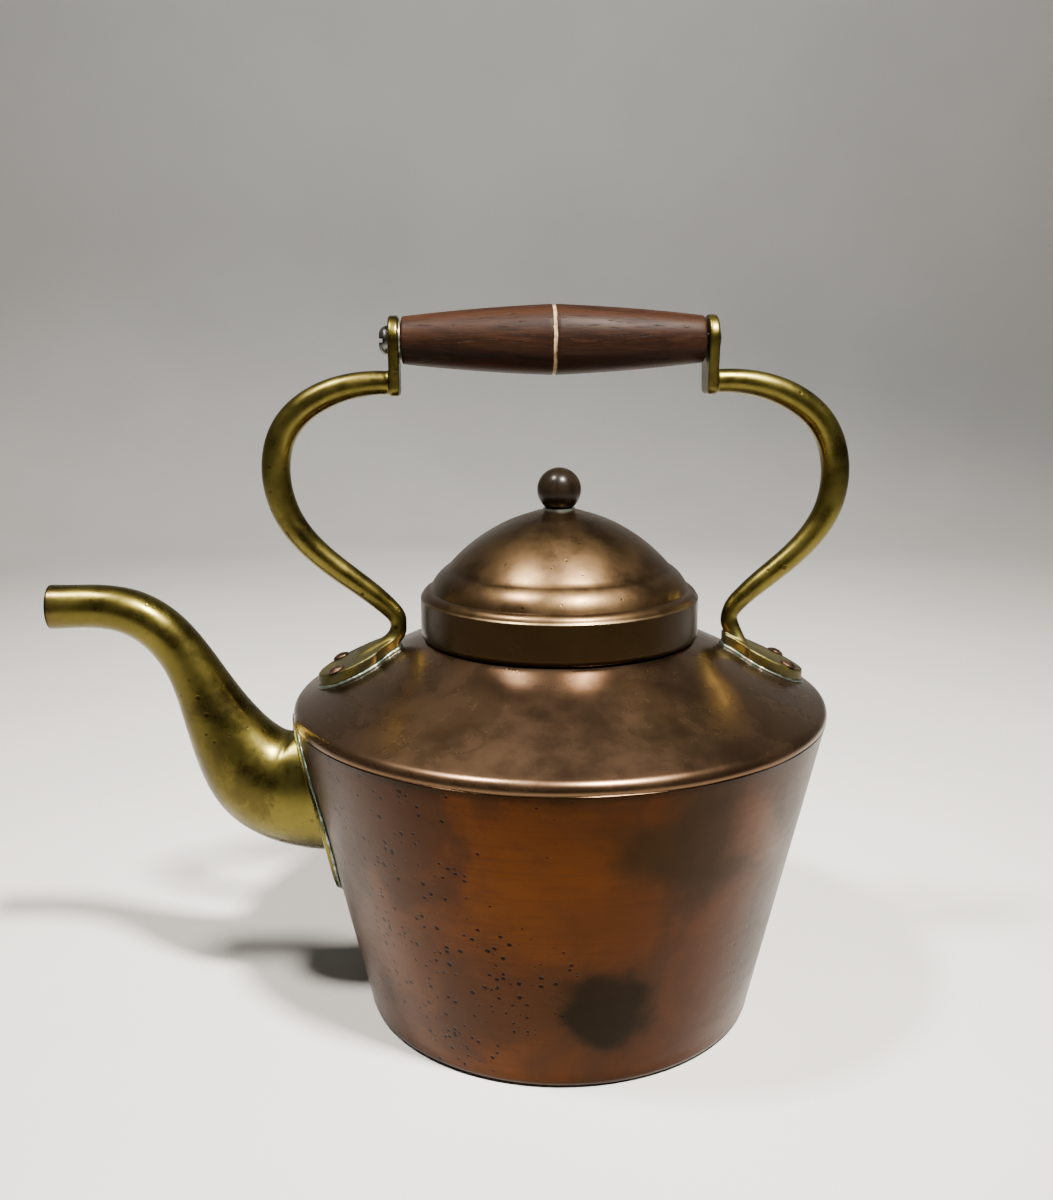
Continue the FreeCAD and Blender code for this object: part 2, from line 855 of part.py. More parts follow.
def rivet_placement(side, spread):
    """Frame on the shoulder at one rivet: Z stands square to the cone."""
    reach = num("rivet_reach") + side * num("foot_shift")
    turn = math.degrees(math.asin(spread / reach))
    slope = num("shoulder_slope")
    heading = turn if side > 0 else 180 - turn
    around = FreeCAD.Rotation(FreeCAD.Vector(0, 0, 1), heading)
    tilt = FreeCAD.Rotation(FreeCAD.Vector(0, 1, 0), slope)
    height = shoulder_height(as_size(reach)).value
    spot = around.multVec(FreeCAD.Vector(reach, 0, height))
    return FreeCAD.Placement(spot, around.multiply(tilt))


def rivet_holes(side):
    """Cylinders that hole the sheet, the solder and the leaf for one arm's two rivets."""
    holes = []
    for spread in (-num("rivet_spread"), num("rivet_spread")):
        frame = rivet_placement(side, spread)
        base = frame.multVec(FreeCAD.Vector(0, 0, -RIVET_HOLE_HALF))
        along = frame.Rotation.multVec(FreeCAD.Vector(0, 0, 1))
        holes.append(Part.makeCylinder(num("rivet_shank"), 2 * RIVET_HOLE_HALF, base, along))
    return holes


def side_placement(side):
    return FreeCAD.Placement() if side > 0 else facing_spout()


def make_arm(label, side, bore):
    """One brass arm: upright plate, curved bar and leaf, in one casting."""
    leaf_solid = foot_leaf(side, num("solder"), num("solder") + num("leaf_thickness"), 0.0)
    keep_off = cone_solid(num("solder"))
    bar = arm_bar(side).cut(keep_off)
    across = FreeCAD.Vector(1, 0, 0)
    length, width, height = BAR_CUT
    corner = FreeCAD.Vector(plate_inner(side) - length, -width / 2, BAR_CUT_BOTTOM)
    inner_face = Part.makeBox(length, width, height, corner)
    bar = bar.cut(inner_face)
    arm = upright_plate(side).fuse([bar, leaf_solid])
    arm.Placement = side_placement(side)
    hole_centre = FreeCAD.Vector(-ROD_HOLE_HALF, 0, num("grip_height"))
    rod_hole = Part.makeCylinder(bore, 2 * ROD_HOLE_HALF, hole_centre, across)
    arm = arm.cut([rod_hole] + rivet_holes(side))
    feature = doc.addObject("Part::Feature", label)
    feature.Shape = largest_solid(arm)
    return feature


def make_foot_solder(label, side):
    """Film of solder under a leaf, which shows as a thin rim round it."""
    film = foot_leaf(side, 0.0, num("solder"), num("solder_rim"))
    film.Placement = side_placement(side)
    feature = doc.addObject("Part::Feature", label)
    feature.Shape = largest_solid(film.cut(rivet_holes(side)))
    return feature


def make_rivet(label, side, spread):
    """Rivet with a low domed head over the leaf and a tail inside the shoulder."""
    shank = dim("rivet_shank")
    head = dim("rivet_head")
    tail = dim("rivet_tail")
    head_foot = tail + dim("sheet_metal") + dim("solder") + dim("leaf_thickness")
    dome = dim("rivet_head_height") * dim("dome_share")
    head_top = head_foot + dim("rivet_head_height")
    body = add_body(label)
    revolve(body, label, [
        (0, 0, None),
        (head, 0, None),
        (head, tail - dim("rivet_tail_gap"), None),
        (shank, tail - dim("rivet_tail_gap"), None),
        (shank, head_foot, None),
        (head, head_foot, None),
        (head, head_top - dome, dome_bulge(head, dome)),
        (0, head_top, None),
    ])
    drop = FreeCAD.Vector(0, 0, -num("rivet_tail") - num("sheet_metal"))
    body.Placement = rivet_placement(side, spread) * FreeCAD.Placement(drop, FreeCAD.Rotation())
    return body


def make_shoulder(blank):
    """Shoulder with its four rivet holes."""
    feature = doc.addObject("Part::Feature", "shoulder")
    feature.Shape = largest_solid(blank.Shape.cut(rivet_holes(1) + rivet_holes(-1)))
    return feature


# --- Grip ----------------------------------------------------------------------------------------


def place_along_x(body, start):
    """Move a piece drawn along X to the grip's axis."""
    body.Placement = FreeCAD.Placement(
        FreeCAD.Vector(start, 0, num("grip_height")), FreeCAD.Rotation()
    )
    body.setExpression("Placement.Base.z", "dims.grip_height")


def grip_start():
    """Place of the grip's spout end."""
    return -num("grip_length") / 2 + lean(num("grip_height"))


def make_grip():
    """Turned barrel with a groove round its middle and a stepped bore."""
    length = dim("grip_length")
    middle = length / 2
    end = dim("grip_end_radius")
    swell = dim("grip_middle_radius")
    bore = dim("rod_bore")
    step = dim("sleeve_bore")
    groove = dim("groove_half_width")
    chamfer = dim("grip_chamfer")
    sleeve = length - dim("sleeve_length")
    body = add_body("grip")
    revolve(body, "grip", [
        (0, bore, None),
        (sleeve, bore, None),
        (sleeve, step, None),
        (length, step, None),
        (length, end - chamfer, None),
        (length - chamfer, end, dim("grip_crown")),
        (middle + groove, swell, None),
        (middle, swell - dim("groove_depth"), None),
        (middle - groove, swell, dim("grip_crown")),
        (chamfer, end, None),
        (0, end - chamfer, None),
    ], axis="H_Axis")
    place_along_x(body, grip_start())
    return body


def make_grip_washer():
    """Washer between the spout side's plate and the grip."""
    body = add_body("grip_washer")
    thickness = dim("grip_washer_thickness")
    revolve(body, "grip_washer", [
        (0, dim("rod_radius"), None),
        (thickness, dim("rod_radius"), None),
        (thickness, dim("grip_washer_radius"), None),
        (0, dim("grip_washer_radius"), None),
    ], axis="H_Axis")
    place_along_x(body, -plate_inner(-1))
    return body


def make_grip_rod():
    """Slotted screw that runs from the spout side's plate into the nut's sleeve."""
    head = dim("screw_head_height")
    edge = dim("screw_head_radius")
    rim = dim("screw_head_rim")
    flat = dim("screw_head_flat")
    shank = dim("rod_radius")
    reach = plate_inner(-1) + num("plate_thickness") + num("screw_head_height")
    tip = reach + plate_inner(1) + num("plate_thickness") - num("rod_end_gap")
    body = add_body("grip_rod")
    revolve(body, "rod", [
        (0, 0, None),
        (tip, 0, None),
        (tip, shank, None),
        (head, shank, None),
        (head, edge, None),
        (rim, edge, dim("screw_head_bulge")),
        (0, flat, None),
    ], axis="H_Axis")
    slot = dim("slot_width") / 2
    depth = dim("slot_depth")
    notch = [(-slot, -slot, None), (depth, -slot, None), (depth, slot, None), (-slot, slot, None)]
    cut_slot(body, notch)
    place_along_x(body, -reach)
    return body


def cut_slot(body, notch):
    """Cut the driver slot right across the screw's head."""
    before = body.Shape.Volume
    sketch = add_sketch(body, "slot_outline", "XZ_Plane")
    add_outline(sketch, notch)
    pocket = body.newObject("PartDesign::Pocket", "slot")
    pocket.Profile = sketch
    pocket.Type = "Length"
    pocket.Length = SLOT_LENGTH
    pocket.Midplane = True
    doc.recompute()
    if body.Shape.Volume > before - 1:
        raise RuntimeError("the slot cut nothing")


def make_grip_nut():
    """Domed barrel nut whose sleeve takes the rod's end inside the grip."""
    head = dim("nut_head_height")
    edge = dim("nut_head_radius")
    dome = head * dim("dome_share")
    sleeve = dim("sleeve_length") + dim("plate_thickness") - dim("sleeve_clearance")
    bore_end = sleeve - dim("rod_end_gap")
    body = add_body("grip_nut")
    revolve(body, "nut", [
        (0, dim("rod_radius"), None),
        (bore_end, dim("rod_radius"), None),
        (bore_end, 0, None),
        (sleeve + head, 0, dome_bulge(edge, dome)),
        (sleeve + head - dome, edge, None),
        (sleeve, edge, None),
        (sleeve, dim("sleeve_radius"), None),
        (0, dim("sleeve_radius"), None),
    ], axis="H_Axis")
    outer_face = plate_inner(1) + num("plate_thickness")
    place_along_x(body, outer_face - sleeve.value)
    return body


# --- Assembly ------------------------------------------------------------------------------------


def build():
    """Make every piece and return them in a list."""
    spread = num("rivet_spread")
    solder = dim("solder")
    flange = dim("flange_thickness")
    blank = make_shoulder_blank()
    pieces = [
        make_lower_body(),
        make_shoulder(blank),
        make_neck_collar(),
        make_lid_shell(),
        make_lid_knob(),
        make_knob_washer(),
        make_knob_screw(),
        make_flange_skin("spout_flange", solder, solder + flange, as_size(0)),
        make_flange_skin("spout_solder", as_size(0), solder, dim("solder_rim")),
        make_arm("front_arm", -1, num("rod_radius")),
        make_arm("rear_arm", 1, num("sleeve_radius")),
        make_foot_solder("front_foot_solder", -1),
        make_foot_solder("rear_foot_solder", 1),
        make_grip(),
        make_grip_washer(),
        make_grip_rod(),
        make_grip_nut(),
    ]
    pieces.extend(make_spout())
    for end, side in (("front", -1), ("rear", 1)):
        for place, offset in (("near", -spread), ("far", spread)):
            pieces.append(make_rivet(f"{end}_{place}_rivet", side, offset))
    return pieces


def check(pieces):
    """Stop if any object of the document failed or a piece isn't one valid solid."""
    doc.recompute()
    for item in doc.Objects:
        if "Invalid" in item.State or "Error" in item.State:
            raise RuntimeError(f"{item.Name} is {item.State}")
    for piece in pieces:
        shape = piece.Shape
        if shape.isNull() or not shape.isValid() or len(shape.Solids) != 1:
            raise RuntimeError(f"{piece.Label} has no single valid solid")


def export(pieces):
    os.makedirs("parts", exist_ok=True)
    for piece in pieces:
        piece.Shape.exportStep(os.path.join("parts", f"{piece.Label}.step"))
        print(piece.Label, round(piece.Shape.Volume, 1))


PIECES = build()
check(PIECES)
export(PIECES)
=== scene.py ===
import math

import bmesh
import bpy
import numpy as np
from mathutils import Matrix, Vector, noise


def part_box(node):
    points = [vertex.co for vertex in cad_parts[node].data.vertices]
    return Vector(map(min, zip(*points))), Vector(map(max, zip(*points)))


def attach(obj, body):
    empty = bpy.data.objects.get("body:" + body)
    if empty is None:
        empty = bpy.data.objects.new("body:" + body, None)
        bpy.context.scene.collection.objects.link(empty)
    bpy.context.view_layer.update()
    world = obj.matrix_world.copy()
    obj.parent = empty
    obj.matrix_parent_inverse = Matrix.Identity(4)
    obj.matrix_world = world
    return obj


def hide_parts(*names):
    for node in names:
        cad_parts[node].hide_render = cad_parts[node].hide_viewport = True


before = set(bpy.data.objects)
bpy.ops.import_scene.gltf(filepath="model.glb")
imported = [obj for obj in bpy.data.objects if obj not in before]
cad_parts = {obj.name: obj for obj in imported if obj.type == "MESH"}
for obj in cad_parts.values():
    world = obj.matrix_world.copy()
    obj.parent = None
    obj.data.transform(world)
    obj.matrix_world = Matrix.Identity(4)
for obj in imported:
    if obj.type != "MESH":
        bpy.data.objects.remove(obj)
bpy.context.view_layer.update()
MM = 0.001

# --- Sizes of the kettle, in millimetres, as in the part's source ---------------------------------

METAL = 1.2
BASE_RADIUS = 67.0
FLARE = math.tan(math.radians(12.5))
FOOT_ROUND = 3.0
SEAM = 105.0
CORNER = 108.2
SLOPE = math.tan(math.radians(25.5))
CORNER_ROUND = 4.0
NECK_RADIUS = 44.2
MOUTH_X = -169.6
MOUTH_LENGTH = 12.0
MOUTH_Z = 141.2
MOUTH_RADIUS = 7.4
SPOUT_FLATTENING = 0.22
SPOUT_WALL = 1.2
FLANGE_LIFT = 1.8
FLANGE_LOW = 38.0
FLANGE_HIGH = 102.5
FLANGE_HALF = 24.0
SPOUT_SINK = 0.2
LEAF_CENTRE = 70.3
LEAF_RADIUS = 12.8
FOOT_SHIFT = 1.1
GRIP_Z = 227.4

SPOUT_STATIONS = [
    (72.0, 75.4, 22.0),
    (88.0, 76.3, 21.6),
    (101.5, 80.6, 18.8),
    (109.3, 89.0, 15.6),
    (115.1, 99.6, 12.6),
    (120.0, 110.5, 10.2),
    (125.2, 121.4, 8.6),
    (132.0, 131.0, 8.1),
    (142.5, 138.6, 7.8),
    (157.6, 141.2, 7.4),
]


def wall_radius(z):
    return BASE_RADIUS + z * FLARE


def cone_height(r):
    return CORNER + (wall_radius(CORNER) - r) * SLOPE


# --- Mesh helpers ---------------------------------------------------------------------------------


def make_object(name, vertices, faces, sharp_angle=40):
    """New smooth mesh object from points in millimetres."""
    mesh = bpy.data.meshes.new(name)
    mesh.from_pydata([tuple(c * MM for c in v) for v in vertices], [], faces)
    mesh.validate()
    solid = bmesh.new()
    solid.from_mesh(mesh)
    bmesh.ops.recalc_face_normals(solid, faces=solid.faces)
    solid.to_mesh(mesh)
    solid.free()
    piece = bpy.data.objects.new(name, mesh)
    bpy.context.scene.collection.objects.link(piece)
    shade(piece, sharp_angle)
    return piece


def shade(piece, sharp_angle):
    mesh = piece.data
    mesh.polygons.foreach_set("use_smooth", [True] * len(mesh.polygons))
    mesh.set_sharp_from_angle(angle=math.radians(sharp_angle))
    mesh.update()


def rounded(corners, step=2.0):
    """Closed outline from (radius, height, fillet) corners, with points at most a step apart."""
    count = len(corners)
    points = []
    for index in range(count):
        here = Vector(corners[index][:2])
        before = Vector(corners[index - 1][:2])
        after = Vector(corners[(index + 1) % count][:2])
        fillet = corners[index][2]
        if fillet <= 0:
            points.append(here)
            continue
        back = (before - here).normalized()
        ahead = (after - here).normalized()
        half = back.angle(ahead) / 2
        reach = fillet / math.tan(half)
        centre = here + (back + ahead).normalized() * (fillet / math.sin(half))
        start = here + back * reach - centre
        end = here + ahead * reach - centre
        turn = start.angle_signed(end)
        steps = max(4, int(abs(math.degrees(turn)) / 7))
        for k in range(steps + 1):
            angle = -turn * k / steps
            cos, sin = math.cos(angle), math.sin(angle)
            spot = Vector((start.x * cos - start.y * sin, start.x * sin + start.y * cos))
            points.append(centre + spot)
    dense = []
    for index, point in enumerate(points):
        following = points[(index + 1) % len(points)]
        parts = max(1, math.ceil((following - point).length / step))
        for k in range(parts):
            dense.append(point.lerp(following, k / parts))
    return dense


def arc_points(start, end, bulge, count):
    """Points on an arc from start to just before end; the bulge stands to the right."""
    start, end = Vector(start), Vector(end)
    chord = end - start
    side = Vector((chord.y, -chord.x)).normalized()
    radius = (chord.length ** 2 / 4 + bulge ** 2) / (2 * abs(bulge))
    centre = (start + end) / 2 - side * math.copysign(radius - abs(bulge), bulge)
    first = start - centre
    sweep = 2 * math.asin(chord.length / 2 / radius) * math.copysign(1, bulge)
    points = []
    for k in range(count):
        angle = sweep * k / count
        cos, sin = math.cos(angle), math.sin(angle)
        points.append(centre + Vector((first.x * cos - first.y * sin, first.x * sin + first.y * cos)))
    return points


def lathe(name, outline, segments=180, sharp_angle=40):
    """Turn a closed outline of (radius, height) points about Z."""
    vertices, rings = [], []
    for point in outline:
        if point[0] < 1e-6:
            rings.append([len(vertices)])
            vertices.append((0.0, 0.0, point[1]))
            continue
        ring = []
        for k in range(segments):
            angle = 2 * math.pi * k / segments
            ring.append(len(vertices))
            vertices.append((point[0] * math.cos(angle), point[0] * math.sin(angle), point[1]))
        rings.append(ring)
    faces = []
    for index, ring in enumerate(rings):
        other = rings[(index + 1) % len(rings)]
        if len(ring) == 1 and len(other) == 1:
            continue
        for k in range(segments):
            m = (k + 1) % segments
            if len(ring) == 1:
                faces.append((ring[0], other[m], other[k]))
            elif len(other) == 1:
                faces.append((ring[k], ring[m], other[0]))
            else:
                faces.append((ring[k], ring[m], other[m], other[k]))
    return make_object(name, vertices, faces, sharp_angle)


def dent(piece, amount, size, seed, keep=None):
    """Push the surface inwards by soft dents, at most the amount in millimetres."""
    mesh = piece.data
    normals = [v.normal.copy() for v in mesh.vertices]
    for vertex, normal in zip(mesh.vertices, normals):
        if keep is not None and keep(vertex.co):
            continue
        spot = vertex.co / (size * MM) + Vector((seed, seed * 1.7, -seed))
        depth = 0.5 + 0.5 * noise.noise(spot)
        vertex.co -= normal * (depth * amount * MM)
    mesh.update()


def tube(name, path, radii, sides=14):
    """Closed bead along a closed path, with its own radius at each point."""
    count = len(path)
    vertices, faces = [], []
    for index, point in enumerate(path):
        along = (path[(index + 1) % count] - path[index - 1]).normalized()
        outwards = Vector((point.x, point.y, 0)).normalized()
        side = along.cross(outwards).normalized()
        rise = side.cross(along)
        for k in range(sides):
            angle = 2 * math.pi * k / sides
            offset = side * math.cos(angle) + rise * math.sin(angle)
            vertices.append(point + offset * radii[index])
    for index in range(count):
        for k in range(sides):
            m = (k + 1) % sides
            other = (index + 1) % count
            faces.append((index * sides + k, index * sides + m, other * sides + m, other * sides + k))
    return make_object(name, vertices, faces, 80)


def melted(name, node, voxel, rounds):
    """Copy of a CAD node with its joints and edges softened, as in a casting."""
    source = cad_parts[node]
    piece = bpy.data.objects.new(name, source.data.copy())
    bpy.context.scene.collection.objects.link(piece)
    remesh = piece.modifiers.new("even", "REMESH")
    remesh.mode = "VOXEL"
    remesh.voxel_size = voxel * MM
    smooth = piece.modifiers.new("soft", "SMOOTH")
    smooth.factor = 0.5
    smooth.iterations = rounds
    graph = bpy.context.evaluated_depsgraph_get()
    mesh = bpy.data.meshes.new_from_object(piece.evaluated_get(graph))
    piece.modifiers.clear()
    piece.data = mesh
    mesh.materials.clear()
    shade(piece, 60)
    return piece


def spline(stations, end_slopes):
    """Clamped cubic curve through the stations, as a function of the distance run."""
    points = np.array(stations, float)
    steps = np.concatenate([[0], np.cumsum(np.linalg.norm(np.diff(points[:, :2], axis=0), axis=1))])
    gaps = np.diff(steps)
    count = len(points)
    matrix = np.zeros((count, count))
    right = np.zeros_like(points)
    matrix[0, 0] = matrix[-1, -1] = 1
    right[0], right[-1] = end_slopes
    for i in range(1, count - 1):
        matrix[i, i - 1] = gaps[i]
        matrix[i, i] = 2 * (gaps[i] + gaps[i - 1])
        matrix[i, i + 1] = gaps[i - 1]
        before = (points[i] - points[i - 1]) / gaps[i - 1]
        after = (points[i + 1] - points[i]) / gaps[i]
        right[i] = 3 * (gaps[i] * before + gaps[i - 1] * after)
    slopes = np.linalg.solve(matrix, right)

    def at(run):
        i = min(max(int(np.searchsorted(steps, run) - 1), 0), count - 2)
        t = (run - steps[i]) / gaps[i]
        hermite = (
            (1 + 2 * t) * (1 - t) ** 2 * points[i]
            + t * (1 - t) ** 2 * gaps[i] * slopes[i]
            + t * t * (3 - 2 * t) * points[i + 1]
            + t * t * (t - 1) * gaps[i] * slopes[i + 1]
        )
        ahead = (
            6 * t * (t - 1) / gaps[i] * (points[i] - points[i + 1])
            + (1 - t) * (1 - 3 * t) * slopes[i]
            + t * (3 * t - 2) * slopes[i + 1]
        )
        return hermite, ahead

    return at, float(steps[-1])


# --- Materials ------------------------------------------------------------------------------------


# Overall tone of each large finish, multiplied into its base colour.
BODY_TONE = (0.092, 0.074, 0.040)
SHOULDER_TONE = (0.50, 0.49, 0.38)
LID_TONE = (0.23, 0.22, 0.17)
BRASS_TONE = (0.26, 0.285, 0.22)
GRIP_TONE = (0.17, 0.135, 0.105)
KNOB_TONE = (0.16, 0.16, 0.12)


class Finish:
    """Node graph of one material. Lengths are in metres, in the frame of the kettle."""

    def __init__(self, name, metallic, specular=0.5):
        self.material = bpy.data.materials.new(name)
        self.material.use_nodes = True
        self.tree = self.material.node_tree
        self.shader = self.tree.nodes["Principled BSDF"]
        self.shader.inputs["Metallic"].default_value = metallic
        self.shader.inputs["Specular IOR Level"].default_value = specular
        self.place = self.tree.nodes.new("ShaderNodeTexCoord").outputs["Object"]
        self.height = None

    def put(self, value, socket):
        if isinstance(value, bpy.types.NodeSocket):
            self.tree.links.new(value, socket)
        elif isinstance(value, (tuple, list)) and len(value) == 3 and socket.type == "RGBA":
            socket.default_value = (*value, 1.0)
        else:
            socket.default_value = value

    def math(self, operation, *values, clamp=False):
        node = self.tree.nodes.new("ShaderNodeMath")
        node.operation = operation
        node.use_clamp = clamp
        for value, socket in zip(values, node.inputs):
            self.put(value, socket)
        return node.outputs[0]

    def stretch(self, scale, shift=(0, 0, 0), source=None, turn=(0, 0, 0)):
        node = self.tree.nodes.new("ShaderNodeMapping")
        self.put(source or self.place, node.inputs["Vector"])
        node.inputs["Scale"].default_value = scale
        node.inputs["Location"].default_value = shift
        node.inputs["Rotation"].default_value = turn
        return node.outputs[0]

    def noise(self, scale, detail=4.0, rough=0.55, warp=0.0, source=None, shift=(0, 0, 0)):
        node = self.tree.nodes.new("ShaderNodeTexNoise")
        vector = source or self.place
        if shift != (0, 0, 0):
            vector = self.stretch((1, 1, 1), shift, vector)
        self.put(vector, node.inputs["Vector"])
        node.inputs["Scale"].default_value = scale
        node.inputs["Detail"].default_value = detail
        node.inputs["Roughness"].default_value = rough
        node.inputs["Distortion"].default_value = warp
        return node.outputs["Fac"]

    def cells(self, scale, source=None, randomness=1.0):
        node = self.tree.nodes.new("ShaderNodeTexVoronoi")
        self.put(source or self.place, node.inputs["Vector"])
        node.inputs["Scale"].default_value = scale
        node.inputs["Randomness"].default_value = randomness
        split = self.tree.nodes.new("ShaderNodeSeparateColor")
        self.tree.links.new(node.outputs["Color"], split.inputs[0])
        return node.outputs["Distance"], split.outputs[0]

    def fade(self, value, low, high, to_low=0.0, to_high=1.0):
        """Smooth step of a value from low to high."""
        node = self.tree.nodes.new("ShaderNodeMapRange")
        node.interpolation_type = "SMOOTHSTEP"
        for item, socket in zip((value, low, high, to_low, to_high), node.inputs):
            self.put(item, socket)
        return node.outputs[0]

    def mix(self, share, first, second, blend="MIX"):
        node = self.tree.nodes.new("ShaderNodeMix")
        node.data_type = "RGBA"
        node.blend_type = blend
        node.clamp_factor = True
        self.put(share, node.inputs["Factor"])
        self.put(first, node.inputs[6])
        self.put(second, node.inputs[7])
        return node.outputs[2]

    def split(self, source=None):
        node = self.tree.nodes.new("ShaderNodeSeparateXYZ")
        self.put(source or self.place, node.inputs[0])
        return node.outputs

    def join(self, x, y, z):
        node = self.tree.nodes.new("ShaderNodeCombineXYZ")
        for value, socket in zip((x, y, z), node.inputs):
            self.put(value, socket)
        return node.outputs[0]

    def around(self):
        """Coordinates unrolled about Z: distance round at 80 mm radius, height, radius."""
        x, y, z = self.split()[:3]
        angle = self.math("ARCTAN2", x, self.math("MULTIPLY", y, -1.0))
        radius = self.math("SQRT", self.math("ADD", self.math("MULTIPLY", x, x), self.math("MULTIPLY", y, y)))
        return self.join(self.math("MULTIPLY", angle, 0.08), z, radius)

    def blob(self, centre, radius, soft, ragged=0.0, scale=60.0, squash=(1, 1, 1)):
        """Stain about a point: 1 inside, fading out over the soft edge, with a ragged outline."""
        node = self.tree.nodes.new("ShaderNodeVectorMath")
        node.operation = "SUBTRACT"
        self.put(self.place, node.inputs[0])
        node.inputs[1].default_value = centre
        scaled = self.tree.nodes.new("ShaderNodeVectorMath")
        scaled.operation = "MULTIPLY"
        self.tree.links.new(node.outputs[0], scaled.inputs[0])
        scaled.inputs[1].default_value = squash
        length = self.tree.nodes.new("ShaderNodeVectorMath")
        length.operation = "LENGTH"
        self.tree.links.new(scaled.outputs[0], length.inputs[0])
        distance = length.outputs["Value"]
        if ragged:
            wander = self.math("SUBTRACT", self.noise(scale, 4.0, 0.6), 0.5)
            distance = self.math("ADD", distance, self.math("MULTIPLY", wander, ragged))
        return self.fade(distance, radius - soft, radius + soft, 1.0, 0.0)

    def emboss(self, height, strength, distance):
        """Add one layer of bump over those already there."""
        node = self.tree.nodes.new("ShaderNodeBump")
        node.inputs["Strength"].default_value = strength
        node.inputs["Distance"].default_value = distance
        self.put(height, node.inputs["Height"])
        if self.height is not None:
            self.tree.links.new(self.height, node.inputs["Normal"])
        self.height = node.outputs[0]

    def done(self, colour, roughness, coat=0.0, coat_rough=0.1, tone=None):
        if tone is not None:
            colour = self.mix(1.0, colour, tone, "MULTIPLY")
        self.put(colour, self.shader.inputs["Base Color"])
        self.put(roughness, self.shader.inputs["Roughness"])
        if self.height is not None:
            self.tree.links.new(self.height, self.shader.inputs["Normal"])
        if coat:
            self.shader.inputs["Coat Weight"].default_value = coat
            self.shader.inputs["Coat Roughness"].default_value = coat_rough
        return self.material


def copper_body():
    f = Finish("body_copper", 1.0)
    unrolled = f.around()
    x, _, z = f.split()[:3]
    colour = f.mix(f.fade(f.noise(16, 6, 0.6, 0.4), 0.38, 0.62), (0.56, 0.225, 0.095), (0.40, 0.165, 0.085))
    # Purple-brown film in drifting clouds, thicker on the upper half.
    clouds = f.noise(19, 7, 0.62, 0.8, shift=(0.13, 0.4, 0.2))
    lift = f.math("MULTIPLY", f.fade(z, 0.030, 0.100), 0.10)
    film = f.fade(f.math("ADD", clouds, lift), 0.50, 0.64)
    colour = f.mix(f.math("MULTIPLY", film, 0.75), colour, (0.245, 0.128, 0.105))
    # Fine spinning marks right round.
    rings = f.noise(1.0, 3, 0.5, source=f.stretch((14, 900, 0), source=unrolled))
    colour = f.mix(f.math("MULTIPLY", f.fade(rings, 0.45, 0.75), 0.35), colour, (0.26, 0.115, 0.07))
    grain = f.noise(1.0, 4, 0.6, source=f.stretch((90, 420, 0), source=unrolled))
    colour = f.mix(f.math("MULTIPLY", f.fade(grain, 0.5, 0.75), 0.4), colour, (0.30, 0.13, 0.07))
    # Olive heat stain at the upper right, and a dark one low in front.
    olive = f.blob((0.031, -0.081, 0.085), 0.0185, 0.010, 0.040, 46, squash=(0.95, 0.95, 1.0))
    colour = f.mix(f.math("MULTIPLY", olive, 0.85), colour, (0.170, 0.112, 0.066))
    halo = f.blob((0.009, -0.074, 0.030), 0.0185, 0.006, 0.022, 70)
    colour = f.mix(f.math("MULTIPLY", halo, 0.45), colour, (0.235, 0.135, 0.10))
    burn = f.blob((0.009, -0.074, 0.030), 0.0145, 0.0045, 0.016, 95)
    colour = f.mix(f.math("MULTIPLY", burn, 0.92), colour, (0.072, 0.056, 0.040))
    # Painted reflection: a greyish upright patch on the right side, standing in for the pale wall mirrored
    # there.
    side = f.blob((0.064, -0.042, 0.045), 0.020, 0.006, 0.02, 40, squash=(1.3, 1.3, 0.5))
    colour = f.mix(f.math("MULTIPLY", side, 0.55), colour, (0.19, 0.13, 0.095))
    # Pits, densest on the side by the spout.
    spots, chance = f.cells(430, source=f.stretch((1, 1.2, 1), source=f.stretch((1, 1, 0), source=unrolled)))
    size = f.fade(chance, 0.45, 1.0, 0.0, 0.38)
    area = f.noise(24, 4, 0.6, shift=(0.3, 0.1, 0.7))
    bias = f.fade(x, 0.030, -0.060, -0.08, 0.16)
    dense = f.fade(f.math("ADD", area, bias), 0.46, 0.60)
    wander = f.math("SUBTRACT", f.noise(900, 3, 0.6), 0.5)
    ragged_spots = f.math("ADD", spots, f.math("MULTIPLY", wander, 0.45))
    pit = f.fade(f.math("SUBTRACT", ragged_spots, f.math("MULTIPLY", size, dense)), -0.05, 0.05, 1.0, 0.0)
    pit = f.math("MULTIPLY", pit, f.fade(size, 0.02, 0.1))
    fine, few = f.cells(900, source=unrolled)
    freckle = f.math("MULTIPLY", f.fade(fine, 0.12, 0.32, 1.0, 0.0), f.fade(few, 0.72, 0.8))
    freckle = f.math("MULTIPLY", freckle, dense)
    colour = f.mix(f.math("MULTIPLY", freckle, 0.6), colour, (0.13, 0.065, 0.045))
    colour = f.mix(f.math("MULTIPLY", pit, 0.95), colour, (0.035, 0.022, 0.018))
    # Painted shade: a dark, patchy band under the shoulder's corner, just below the seam.
    seam_shade = f.fade(z, 0.0985, 0.1045)
    ragged = f.fade(f.noise(70, 5, 0.6), 0.40, 0.62)
    colour = f.mix(f.math("MULTIPLY", f.math("MULTIPLY", seam_shade, ragged), 0.8), colour, (0.16, 0.085, 0.055))
    # Painted shade, deepest in the last few millimetres below the seam, where the brazed joint itself is also
    # dark.
    lip = f.fade(z, 0.1020, 0.1046)
    colour = f.mix(f.math("MULTIPLY", lip, 0.75), colour, (0.10, 0.055, 0.030))
    # Darker along the foot.
    colour = f.mix(f.fade(z, 0.0045, 0.0005, 0.0, 0.7), colour, (0.10, 0.055, 0.04))
    stained = f.math("MULTIPLY", f.math("ADD", olive, burn), 0.10)
    rough = f.math("ADD", f.fade(clouds, 0.3, 0.7, 0.30, 0.40), stained)
    rough = f.math("ADD", rough, f.math("MULTIPLY", grain, 0.08))
    f.emboss(f.noise(34, 3, 0.5), 0.35, 0.0006)
    f.emboss(rings, 0.12, 0.00008)
    f.emboss(grain, 0.18, 0.00010)
    f.emboss(f.math("MULTIPLY", pit, -1.0), 0.5, 0.00015)
    return f.done(colour, rough, tone=BODY_TONE)


